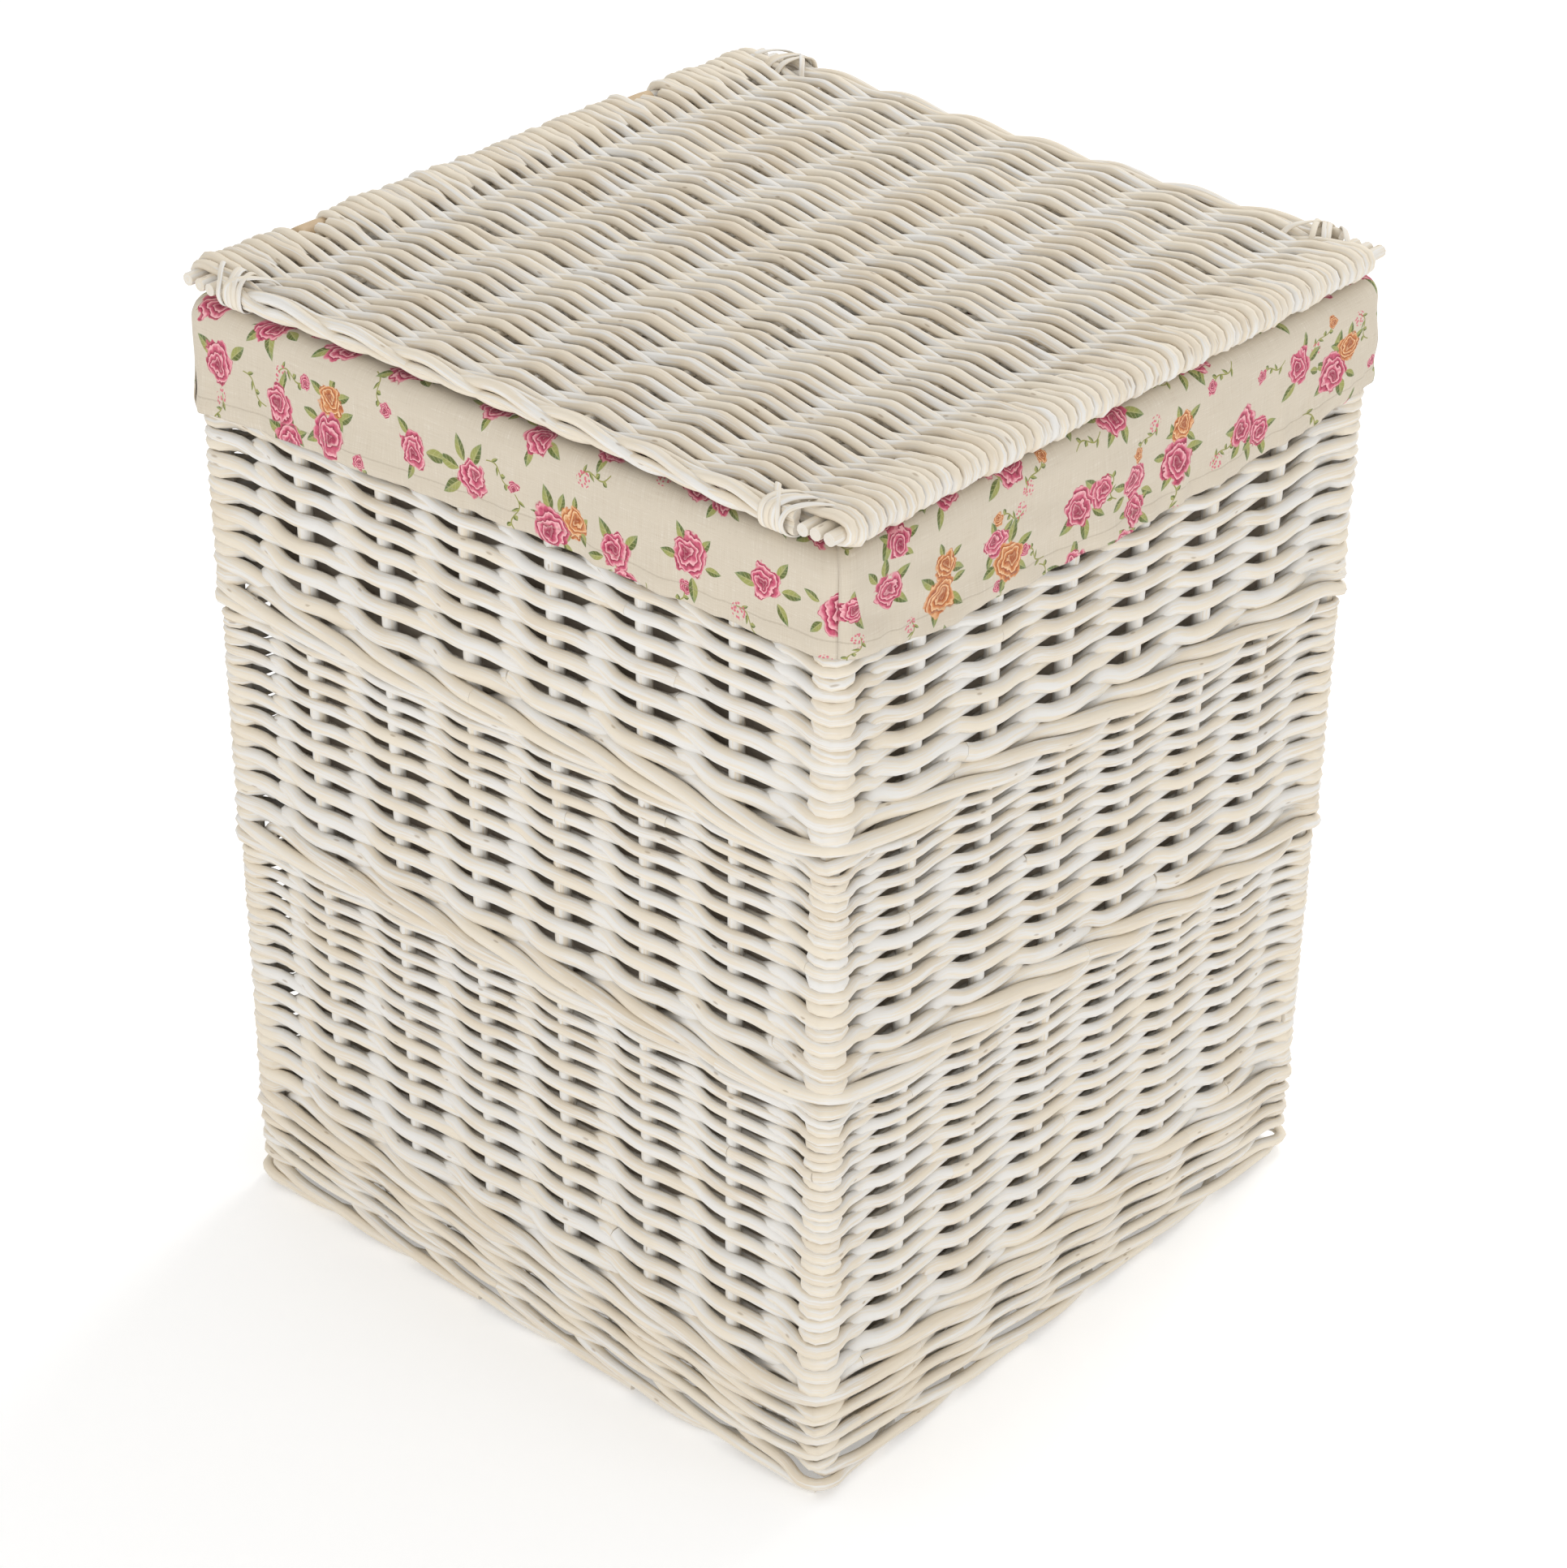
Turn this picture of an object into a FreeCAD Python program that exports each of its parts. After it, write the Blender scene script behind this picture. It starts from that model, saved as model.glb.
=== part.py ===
import FreeCAD, Part

import math
import os

import Sketcher

# A square willow laundry basket with a flat hinged lid and a sewn cotton lining that folds over the rim.
# Millimetres, +Z up, the origin on the floor under the middle of the basket.
# The front, where the lid opens, faces -Y, and the two hinge loops are along the +Y edge.

SIZES = {
    # The walls taper: half the distance between opposite rows of stakes, at the floor and at the rim.
    "plane_floor": 204.0,
    "plane_rim": 210.0,
    "rim_height": 560.0,
    "wall_half": 10.0,
    # Levels of the weave, from the floor up.
    "foot_top": 16.0,
    "wale_top": 50.0,
    "lower_top": 236.0,
    "middle_top": 382.0,
    "upper_top": 542.0,
    "border_top": 558.8,
    # Upright rods.
    "stake_count": 6,
    "stake_radius": 3.5,
    "post_radius": 5.0,
    "hole_play": 0.1,
    "end_play": 0.1,
    # The woven base.
    "base_bottom": 15.0,
    "base_top": 33.0,
    "base_stick_count": 9,
    "base_stick_radius": 4.5,
    "base_stick_half": 193.0,
    # The lining.
    "cloth": 1.2,
    "skirt_play": 0.6,
    "hem_height": 505.0,
    "elastic_bottom": 508.0,
    "elastic_width": 6.0,
    # The lid: its middle plane, half its thickness, and where its outermost sticks lie.
    "lid_middle": 570.0,
    "lid_half": 9.5,
    "lid_edge": 214.0,
    "lid_weave_half": 212.8,
    "lid_stick_radius": 3.5,
    "lid_stick_count": 7,
    "lid_stick_pitch": 50.0,
    "bundle_pitch": 7.3,
    "bundle_reach": 222.0,
    "hinge_space": 10.4,
    # The rods along the lid's two side edges, and the skeins that bind them.
    "edge_rod_radius": 4.1,
    "edge_rod_drop": 4.2,
    "edge_rod_middle": 218.3,
    "edge_rod_half": 192.0,
    "binding_middle": 184.0,
    "binding_length": 14.0,
    "binding_thickness": 0.9,
    "binding_inner_width": 8.8,
    "binding_inner_height": 17.2,
    # The two hinge loops.
    "loop_left": -138.0,
    "loop_right": 112.0,
    "loop_width": 24.0,
    "loop_play": 0.05,
    "loop_outer": 5.2,
    "loop_tail": 3.2,
    "loop_tail_top": 565.5,
    "loop_tail_bottom": 548.0,
    "notch_width": 26.0,
    "slit_play": 0.2,
}

doc = FreeCAD.newDocument("laundry_basket")
sheet = doc.addObject("Spreadsheet::Sheet", "Sizes")
for row, (alias, number) in enumerate(SIZES.items(), start=1):
    sheet.set(f"A{row}", alias.replace("_", " "))
    sheet.set(f"B{row}", str(number))
    sheet.setAlias(f"B{row}", alias)
doc.recompute()

SIDES = {"front": 0.0, "right": 90.0, "back": 180.0, "left": 270.0}
UP_AXIS = FreeCAD.Vector(0, 0, 1)
SIDE_AXIS = FreeCAD.Vector(1, 0, 0)
subparts = []


def size(alias):
    """The number in the sheet's cell with this alias."""
    return float(sheet.get(alias))


def cell(alias):
    """The expression that reads this alias."""
    return f"Sizes.{alias}"


def plane(level):
    """Expression for half the distance between opposite rows of stakes at this level."""
    return f"({cell('plane_floor')} + ({cell('plane_rim')} - {cell('plane_floor')}) * {level} / {cell('rim_height')})"


def bind(piece, expressions):
    """Binds each named property of the piece to its expression."""
    for name, expression in expressions.items():
        piece.setExpression(name, expression)
    return piece


def keep(piece, label):
    """Marks a piece as a sub-part under this label."""
    piece.Label = label
    subparts.append(piece)
    return piece


def turned(angle):
    """Rotation that takes the front side to another side."""
    return FreeCAD.Rotation(UP_AXIS, angle)


def wedge(name, levels, inner, outer, reach, angle=0.0):
    """A slanted slab of one side, between two levels, two offsets from the stakes and ends at +-reach.

    inner, outer and reach are functions from the stakes' plane to an expression.
    """
    low, high = (plane(level) for level in levels)
    slab = doc.addObject("Part::Wedge", name)
    bind(slab, {
        "Ymin": levels[0],
        "Ymax": levels[1],
        "Zmin": inner(low),
        "Zmax": outer(low),
        "Z2min": inner(high),
        "Z2max": outer(high),
        "Xmin": f"-({reach(low)})",
        "Xmax": reach(low),
        "X2min": f"-({reach(high)})",
        "X2max": reach(high),
    })
    slab.Placement = FreeCAD.Placement(
        FreeCAD.Vector(), turned(angle) * FreeCAD.Rotation(SIDE_AXIS, 90))
    return slab


def offset(expression):
    """Function from the stakes' plane to a plane this far outside it."""
    return lambda at: f"{at} + {expression}"


def frustum(name, levels, half):
    """A solid square frustum between two levels, its faces a given distance from the middle."""
    return wedge(name, levels, lambda at: f"-({half(at)})", half, half)


def cylinder(name, radius, start, end, length=None):
    """A round rod between two points. Its length may be an expression."""
    rod = doc.addObject("Part::Cylinder", name)
    along = end - start
    rod.setExpression("Radius", radius)
    if length:
        rod.setExpression("Height", length)
    else:
        rod.Height = along.Length
    rod.Placement = FreeCAD.Placement(start, FreeCAD.Rotation(UP_AXIS, along))
    return rod


def box(name, low, high):
    """An upright box between two corners given as numbers."""
    block = doc.addObject("Part::Box", name)
    block.Length = high[0] - low[0]
    block.Width = high[1] - low[1]
    block.Height = high[2] - low[2]
    block.Placement = FreeCAD.Placement(FreeCAD.Vector(*low), FreeCAD.Rotation())
    return block


def group(name, pieces):
    """Several separate solids as one object."""
    compound = doc.addObject("Part::Compound", name)
    compound.Links = pieces
    return compound


def cut(name, base, tool):
    """Base with the tool taken away."""
    result = doc.addObject("Part::Cut", name)
    result.Base = base
    result.Tool = tool
    return result


def fuse(name, pieces):
    """One solid from several that touch."""
    result = doc.addObject("Part::MultiFuse", name)
    result.Shapes = pieces
    result.Refine = True
    return result


# Upright rods: six stakes in each side and a post in each corner.


def plane_at(height):
    """Half the distance between opposite rows of stakes at a height."""
    slope = (size("plane_rim") - size("plane_floor")) / size("rim_height")
    return size("plane_floor") + slope * height


def upright(name, fraction, angle, radius, play):
    """A rod that leans with the wall, its ends this far clear of the rings below and above it.

    fraction runs from -1 to 1 between two corners, and play is an expression.
    """
    clear = size("end_play") if play == cell("end_play") else 0.0
    ends = []
    for height in (size("foot_top") + clear, size("upper_top") - clear):
        half = plane_at(height)
        ends.append(turned(angle).multVec(FreeCAD.Vector(fraction * half, -half, height)))
    lean = f"pow(({cell('plane_rim')} - {cell('plane_floor')}) / {cell('rim_height')}; 2)"
    height = f"({cell('upper_top')} - {cell('foot_top')} - 2 * {play})"
    length = f"{height} * sqrt(1 + {1 + fraction ** 2:.6f} * {lean})"
    return cylinder(name, radius, ends[0], ends[1], length)


def stake_fractions():
    """Where the stakes of one side stand, from -1 to 1 between two corner posts."""
    gaps = int(size("stake_count")) + 1
    return [2.0 * place / gaps - 1.0 for place in range(1, gaps)]


stake_holes = {}
hole_radius = f"{cell('stake_radius')} + {cell('hole_play')}"
for side, angle in SIDES.items():
    rods = []
    holes = []
    for number, fraction in enumerate(stake_fractions(), start=1):
        rods.append(upright(
            f"{side}_stake_{number}", fraction, angle, cell("stake_radius"), cell("end_play")))
        holes.append(upright(f"{side}_stake_hole_{number}", fraction, angle, hole_radius, "0"))
    keep(group(f"{side}_stake_group", rods), f"{side}_stakes")
    stake_holes[side] = holes

CORNERS = {"front_left": 0.0, "front_right": 90.0, "back_right": 180.0, "back_left": 270.0}
post_holes = {}
hole_radius = f"{cell('post_radius')} + {cell('hole_play')}"
for corner, angle in CORNERS.items():
    keep(upright(f"{corner}_post_rod", -1.0, angle, cell("post_radius"), cell("end_play")), f"{corner}_post")
    post_holes[corner] = upright(f"{corner}_post_hole", -1.0, angle, hole_radius, "0")


# The weave. The front and back slabs run round the corner posts, and the side slabs fit between them.

wall_inner = offset(f"-{cell('wall_half')}")
wall_outer = offset(cell("wall_half"))
BANDS = {
    "lower": ("wale_top", "lower_top"),
    "middle": ("lower_top", "middle_top"),
    "upper": ("middle_top", "upper_top"),
}
holes_of = {
    "front": stake_holes["front"] + [post_holes["front_left"], post_holes["front_right"]],
    "right": stake_holes["right"],
    "back": stake_holes["back"] + [post_holes["back_left"], post_holes["back_right"]],
    "left": stake_holes["left"],
}
hole_groups = {side: group(f"{side}_holes", holes) for side, holes in holes_of.items()}
all_holes = group("all_holes", [hole for holes in holes_of.values() for hole in holes])

for side, angle in SIDES.items():
    reach = wall_outer if side in ("front", "back") else wall_inner
    for band, levels in BANDS.items():
        slab = wedge(
            f"{side}_{band}_slab", [cell(level) for level in levels], wall_inner, wall_outer, reach, angle)
        keep(cut(f"{side}_{band}_cut", slab, hole_groups[side]), f"{side}_{band}_weave")


def ring(name, levels, inner, outer):
    """A square ring between two levels."""
    return cut(
        f"{name}_ring",
        frustum(f"{name}_outside", levels, outer),
        frustum(f"{name}_inside", levels, inner))


keep(ring("foot", ["0", cell("foot_top")], wall_inner, wall_outer), "foot_border")
wale = ring("wale", [cell("foot_top"), cell("wale_top")], wall_inner, wall_outer)
keep(cut("wale_cut", wale, all_holes), "base_wale")


# The base: a woven panel on a row of thick sticks that run from front to back.

base_half = size("plane_floor") - size("wall_half")
base_panel = doc.addObject("Part::Box", "base_panel")
bind(base_panel, {
    "Length": f"2 * ({cell('plane_floor')} - {cell('wall_half')})",
    "Width": f"2 * ({cell('plane_floor')} - {cell('wall_half')})",
    "Height": f"{cell('base_top')} - {cell('base_bottom')}",
})
base_panel.Placement = FreeCAD.Placement(
    FreeCAD.Vector(-base_half, -base_half, size("base_bottom")), FreeCAD.Rotation())

base_sticks = []
base_holes = []
stick_height = (size("base_top") + size("base_bottom")) / 2
for number in range(int(size("base_stick_count"))):
    across = base_half * (2.0 * (number + 0.5) / size("base_stick_count") - 1.0)
    start = FreeCAD.Vector(across, -size("base_stick_half"), stick_height)
    end = FreeCAD.Vector(across, size("base_stick_half"), stick_height)
    base_sticks.append(cylinder(
        f"base_stick_{number + 1}", cell("base_stick_radius"), start, end, f"2 * {cell('base_stick_half')}"))
    base_holes.append(cylinder(
        f"base_hole_{number + 1}", f"{cell('base_stick_radius')} + {cell('hole_play')}", start, end,
        f"2 * {cell('base_stick_half')}"))
keep(cut("base_cut", base_panel, group("base_hole_group", base_holes)), "base_weave")
keep(group("base_stick_group", base_sticks), "base_sticks")


# The hinge loops: a strap folded round the lid's back stick, with both its ends down through a slit
# in the lining into the top border.


def new_sketch(body, name, role):
    """A sketch on one of the body's own origin planes."""
    sketch = body.newObject("Sketcher::SketchObject", name)
    origin_plane = next(item for item in body.Origin.OriginFeatures if item.Role == role)
    sketch.AttachmentSupport = [(origin_plane, "")]
    sketch.MapMode = "FlatFace"
    return sketch


def add_circle(sketch, centre, radius):
    """A circle whose centre and radius are bound to expressions."""
    circle = sketch.addGeometry(Part.Circle(FreeCAD.Vector(1, 1, 0), UP_AXIS, 1.0))
    bound = [
        ("DistanceX", (-1, 1, circle, 3), centre[0]),
        ("DistanceY", (-1, 1, circle, 3), centre[1]),
        ("Radius", (circle,), radius),
    ]
    for kind, where, expression in bound:
        index = sketch.addConstraint(Sketcher.Constraint(kind, *where, 1.0))
        sketch.setExpression(f"Constraints[{index}]", expression)


def add_rectangle(sketch, left, right, bottom, top):
    """An upright rectangle whose four sides are bound to expressions."""
    corners = [FreeCAD.Vector(1, 1, 0), FreeCAD.Vector(2, 1, 0), FreeCAD.Vector(2, 2, 0), FreeCAD.Vector(1, 2, 0)]
    first = sketch.GeometryCount
    for number in range(4):
        sketch.addGeometry(Part.LineSegment(corners[number], corners[(number + 1) % 4]))
    for number in range(4):
        sketch.addConstraint(Sketcher.Constraint("Coincident", first + number, 2, first + (number + 1) % 4, 1))
    for number, kind in enumerate(("Horizontal", "Vertical", "Horizontal", "Vertical")):
        sketch.addConstraint(Sketcher.Constraint(kind, first + number))
    bound = [
        ("DistanceX", first, left),
        ("DistanceY", first, bottom),
        ("DistanceX", first + 2, right),
        ("DistanceY", first + 2, top),
    ]
    for kind, line, expression in bound:
        index = sketch.addConstraint(Sketcher.Constraint(kind, -1, 1, line, 1, 1.0))
        sketch.setExpression(f"Constraints[{index}]", expression)


def symmetric_pad(body, name, sketch, length):
    """A pad of the sketch, half to each side of its plane."""
    pad = body.newObject("PartDesign::Pad", name)
    pad.Profile = sketch
    pad.SideType = "Symmetric"
    pad.setExpression("Length", length)
    body.Tip = pad
    return pad


def hinge_loop(side):
    """The ring round the lid's stick and its flat tail."""
    body = doc.addObject("PartDesign::Body", f"loop_{side}_body")
    profile = new_sketch(body, f"loop_{side}_ring_sketch", "YZ_Plane")
    centre = (cell("lid_edge"), cell("lid_middle"))
    add_circle(profile, centre, cell("loop_outer"))
    symmetric_pad(body, f"loop_{side}_ring", profile, cell("loop_width"))
    tail = new_sketch(body, f"loop_{side}_tail_sketch", "YZ_Plane")
    add_rectangle(
        tail,
        f"{cell('lid_edge')} - {cell('loop_tail')} / 2",
        f"{cell('lid_edge')} + {cell('loop_tail')} / 2",
        cell("loop_tail_bottom"),
        cell("loop_tail_top"))
    symmetric_pad(body, f"loop_{side}_tail", tail, cell("loop_width"))
    bore = new_sketch(body, f"loop_{side}_bore_sketch", "YZ_Plane")
    add_circle(bore, centre, f"{cell('lid_stick_radius')} + {cell('loop_play')}")
    pocket = body.newObject("PartDesign::Pocket", f"loop_{side}_bore")
    pocket.Profile = bore
    pocket.SideType = "Symmetric"
    pocket.Type = "ThroughAll"
    body.Tip = pocket
    body.Placement = FreeCAD.Placement(FreeCAD.Vector(size(f"loop_{side}"), 0, 0), FreeCAD.Rotation())
    return body


for side in ("left", "right"):
    keep(hinge_loop(side), f"{side}_hinge_loop")


def tail_slits(name, levels):
    """Boxes round the tails of both hinge loops, to cut the slits that they pass through."""
    slits = []
    half_width = size("loop_width") / 2 + size("slit_play")
    half_depth = size("loop_tail") / 2 + size("slit_play")
    for side in ("left", "right"):
        middle = size(f"loop_{side}")
        slits.append(box(
            f"{name}_{side}_slit",
            (middle - half_width, size("lid_edge") - half_depth, levels[0]),
            (middle + half_width, size("lid_edge") + half_depth, levels[1])))
    return group(f"{name}_slits", slits)


border = ring("border", [cell("upper_top"), cell("border_top")], wall_inner, wall_outer)
border_slits = tail_slits("border", (size("loop_tail_bottom"), size("rim_height")))
keep(cut("border_cut", border, border_slits), "top_border")


# The lining: a floor and four panels, each up the inside, over the border and down the outside as a skirt.

cloth = cell("cloth")
lining_inner = offset(f"-{cell('wall_half')} - {cloth}")
skirt_inner = offset(f"{cell('wall_half')} + {cell('skirt_play')}")
skirt_outer = offset(f"{cell('wall_half')} + {cell('skirt_play')} + {cloth}")
floor_top = f"({cell('base_top')} + {cloth})"


def lining_panel(side, angle):
    """One side of the lining, as one piece of cloth."""
    long_side = side in ("front", "back")
    inside = wedge(
        f"lining_{side}_inside", [floor_top, cell("border_top")], lining_inner, wall_inner,
        wall_inner if long_side else lining_inner, angle)
    cap = wedge(
        f"lining_{side}_cap", [cell("border_top"), cell("rim_height")], lining_inner, skirt_outer,
        skirt_outer if long_side else lining_inner, angle)
    skirt = wedge(
        f"lining_{side}_skirt", [cell("hem_height"), cell("border_top")], skirt_inner, skirt_outer,
        skirt_outer if long_side else skirt_inner, angle)
    return fuse(f"lining_{side}_fuse", [inside, cap, skirt])


for side, angle in SIDES.items():
    panel = lining_panel(side, angle)
    if side == "back":
        slits = tail_slits("lining", (size("loop_tail_bottom"), size("lid_middle")))
        panel = cut("lining_back_cut", panel, slits)
    keep(panel, f"lining_{side}")

floor_half = f"({cell('plane_floor')} - {cell('wall_half')})"
lining_floor = doc.addObject("Part::Box", "lining_floor_sheet")
bind(lining_floor, {"Length": f"2 * {floor_half}", "Width": f"2 * {floor_half}", "Height": cloth})
lining_floor.Placement = FreeCAD.Placement(
    FreeCAD.Vector(-base_half, -base_half, size("base_top")), FreeCAD.Rotation())
keep(lining_floor, "lining_floor")

elastic_levels = [cell("elastic_bottom"), f"({cell('elastic_bottom')} + {cell('elastic_width')})"]
keep(ring("elastic", elastic_levels, wall_outer, skirt_inner), "lining_elastic")


# The lid: sticks from side to side, held in a weave that is rounded along its front and back edges.


def lid_rod(name, along, radius, half):
    """A rod from side to side of the lid, in its middle plane."""
    start = FreeCAD.Vector(-size(half), along, size("lid_middle"))
    end = FreeCAD.Vector(size(half), along, size("lid_middle"))
    return cylinder(name, radius, start, end, f"2 * {cell(half)}")


stick_span = int(size("lid_stick_count")) // 2
cross_places = [size("lid_stick_pitch") * step for step in range(-stick_span, stick_span + 1)]
front_places = [-size("lid_edge") + size("bundle_pitch") * step for step in range(3)]
back_places = [size("lid_edge") - size("hinge_space") - size("bundle_pitch") * step for step in range(2)]
hinge_place = size("lid_edge")


def lid_rods(name, places, half):
    """Several rods from side to side of the lid."""
    return [
        lid_rod(f"{name}_{number}", place, cell("lid_stick_radius"), half)
        for number, place in enumerate(places, start=1)]


keep(group("cross_stick_group", lid_rods("cross_stick", cross_places, "lid_weave_half")), "lid_cross_sticks")
keep(group("front_stick_group", lid_rods("front_stick", front_places, "bundle_reach")), "lid_front_sticks")
keep(group("back_stick_group", lid_rods("back_stick", back_places, "bundle_reach")), "lid_back_sticks")
keep(lid_rod("hinge_rod", hinge_place, cell("lid_stick_radius"), "bundle_reach"), "lid_hinge_stick")

lid_slab = doc.addObject("Part::Box", "lid_slab")
bind(lid_slab, {
    "Length": f"2 * {cell('lid_weave_half')}",
    "Width": f"2 * {cell('lid_edge')}",
    "Height": f"2 * {cell('lid_half')}",
})
lid_slab.Placement = FreeCAD.Placement(
    FreeCAD.Vector(-size("lid_weave_half"), -size("lid_edge"), size("lid_middle") - size("lid_half")),
    FreeCAD.Rotation())
lid_rounds = [
    lid_rod(f"lid_{end}_round", place, cell("lid_half"), "lid_weave_half")
    for end, place in (("front", -size("lid_edge")), ("back", size("lid_edge")))]
lid_blank = fuse("lid_blank", [lid_slab] + lid_rounds)

lid_holes = [
    lid_rod(
        f"lid_hole_{number}", place, f"{cell('lid_stick_radius')} + {cell('hole_play')}", "bundle_reach")
    for number, place in enumerate(cross_places + front_places + back_places + [hinge_place], start=1)]
notch_inner = size("lid_edge") - size("hinge_space") + size("lid_stick_radius")
notches = [
    box(
        f"lid_notch_{side}",
        (size(f"loop_{side}") - size("notch_width") / 2, notch_inner, size("rim_height")),
        (size(f"loop_{side}") + size("notch_width") / 2, size("bundle_reach") + size("lid_half"),
         size("lid_middle") + size("lid_half") + 1))
    for side in ("left", "right")]
keep(cut("lid_cut", lid_blank, group("lid_cutters", lid_holes + notches)), "lid_weave")


def edge_rods(side, sign):
    """The upper and lower rods along one side edge of the lid."""
    rods = []
    for level, rise in (("upper", 1), ("lower", -1)):
        height = size("lid_middle") + rise * size("edge_rod_drop")
        start = FreeCAD.Vector(sign * size("edge_rod_middle"), -size("edge_rod_half"), height)
        end = FreeCAD.Vector(sign * size("edge_rod_middle"), size("edge_rod_half"), height)
        rods.append(cylinder(
            f"lid_{side}_{level}_rod", cell("edge_rod_radius"), start, end, f"2 * {cell('edge_rod_half')}"))
    return group(f"lid_{side}_rods", rods)


def binding(name, across, along):
    """A skein wrapped round both edge rods near a corner, as a flat sleeve."""
    body = doc.addObject("PartDesign::Body", f"{name}_body")
    profile = new_sketch(body, f"{name}_sketch", "XZ_Plane")
    half_width = f"{cell('binding_inner_width')} / 2"
    half_height = f"{cell('binding_inner_height')} / 2"
    wrap = cell("binding_thickness")
    add_rectangle(
        profile, f"-({half_width} + {wrap})", f"{half_width} + {wrap}",
        f"-({half_height} + {wrap})", f"{half_height} + {wrap}")
    add_rectangle(
        profile, f"-({half_width})", half_width, f"-({half_height})", half_height)
    symmetric_pad(body, f"{name}_pad", profile, cell("binding_length"))
    body.Placement = FreeCAD.Placement(
        FreeCAD.Vector(across, along, size("lid_middle")), FreeCAD.Rotation())
    return body


for side, sign in (("left", -1), ("right", 1)):
    keep(edge_rods(side, sign), f"lid_{side}_edge_rods")
    for end, way in (("front", -1), ("back", 1)):
        keep(
            binding(f"{end}_{side}_binding", sign * size("edge_rod_middle"), way * size("binding_middle")),
            f"lid_{end}_{side}_binding")


# Check and write.


def check_solid(name, expected):
    """Stops if a cut or a pad did not take place, by comparing volumes in cubic millimetres."""
    volume = next(piece.Shape.Volume for piece in subparts if piece.Label == name)
    if abs(volume - expected) > 0.02 * expected:
        raise ValueError(f"{name} has volume {volume:.0f}, expected {expected:.0f}")


doc.recompute()
for item in doc.Objects:
    if "Invalid" in item.State or "Error" in item.State:
        raise ValueError(f"{item.Name} failed: {item.State}")
for piece in subparts:
    if piece.Shape.isNull() or not piece.Shape.isValid() or not piece.Shape.Solids:
        raise ValueError(f"{piece.Label} has no valid solid")

ring_area = math.pi * (size("loop_outer") ** 2 - (size("lid_stick_radius") + size("loop_play")) ** 2)
tail_area = size("loop_tail") * (size("lid_middle") - size("loop_outer") - size("loop_tail_bottom"))
check_solid("left_hinge_loop", size("loop_width") * (ring_area + tail_area))
sleeve_area = (
    (size("binding_inner_width") + 2 * size("binding_thickness"))
    * (size("binding_inner_height") + 2 * size("binding_thickness"))
    - size("binding_inner_width") * size("binding_inner_height"))
check_solid("lid_front_left_binding", size("binding_length") * sleeve_area)

os.makedirs("parts", exist_ok=True)
for piece in subparts:
    piece.Shape.exportStep(f"parts/{piece.Label}.step")
print(f"{len(subparts)} sub-parts written")
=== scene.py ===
import math

import bpy
import numpy as np
from bpy.props import FloatProperty, FloatVectorProperty, IntProperty, PointerProperty
from mathutils import Matrix, Vector


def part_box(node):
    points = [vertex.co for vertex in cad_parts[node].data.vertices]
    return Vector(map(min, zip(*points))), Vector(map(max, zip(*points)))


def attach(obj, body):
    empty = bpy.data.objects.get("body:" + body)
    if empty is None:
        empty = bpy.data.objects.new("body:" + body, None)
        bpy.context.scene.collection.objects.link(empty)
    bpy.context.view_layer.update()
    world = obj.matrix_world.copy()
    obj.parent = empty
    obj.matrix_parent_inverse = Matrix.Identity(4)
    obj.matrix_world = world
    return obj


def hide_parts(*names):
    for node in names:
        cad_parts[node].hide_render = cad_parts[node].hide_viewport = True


bl_info = {
    "name": "Willow laundry basket",
    "version": (1, 0, 0),
    "blender": (4, 5, 0),
    "location": "View3D > Sidebar > Basket",
    "description": "Builds a lined willow laundry basket with a woven lid around its CAD frame",
    "category": "Object",
}

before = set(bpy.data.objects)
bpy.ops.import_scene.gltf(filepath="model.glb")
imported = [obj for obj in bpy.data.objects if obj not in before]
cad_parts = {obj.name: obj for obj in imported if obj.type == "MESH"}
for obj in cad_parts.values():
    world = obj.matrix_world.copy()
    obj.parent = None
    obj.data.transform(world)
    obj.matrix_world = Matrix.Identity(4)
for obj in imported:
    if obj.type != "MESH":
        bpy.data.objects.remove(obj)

# One side of the basket is 8 units of travel: the first goes round its left corner post, and the other
# seven are the gaps between its stakes. Travel runs anticlockwise seen from above, from the front left post.
STAKES = 6
SIDE_UNITS = STAKES + 2
ROUND_UNITS = 4 * SIDE_UNITS
SIDES = ("front", "right", "back", "left")
CORNERS = ("front_left", "front_right", "back_right", "back_left")


# Curves and meshes


def level_half(z):
    """Half the distance between opposite rows of stakes at a height."""
    sizes = bpy.context.scene.basket_sizes
    return sizes.plane_floor + (sizes.plane_rim - sizes.plane_floor) * z / sizes.rim_height


def wall_points(travel, out, height):
    """Points in the row frame from the travel round the wall, the distance out from the stakes and the height."""
    travel, out, height = np.broadcast_arrays(
        np.asarray(travel, float), np.asarray(out, float), np.asarray(height, float))
    side = np.floor(travel / SIDE_UNITS)
    local = travel - side * SIDE_UNITS
    half = level_half(height)
    along = (local - 1) / (STAKES + 1) * 2 - 1
    swing = math.radians(225) + (local - 0.5) * math.radians(90)
    on_face = local >= 1
    x = np.where(on_face, along * half, -half + out * np.cos(swing))
    y = np.where(on_face, -half - out, -half + out * np.sin(swing))
    turn = side * math.radians(90)
    return np.stack([x * np.cos(turn) - y * np.sin(turn), x * np.sin(turn) + y * np.cos(turn), height], axis=-1)


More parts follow.
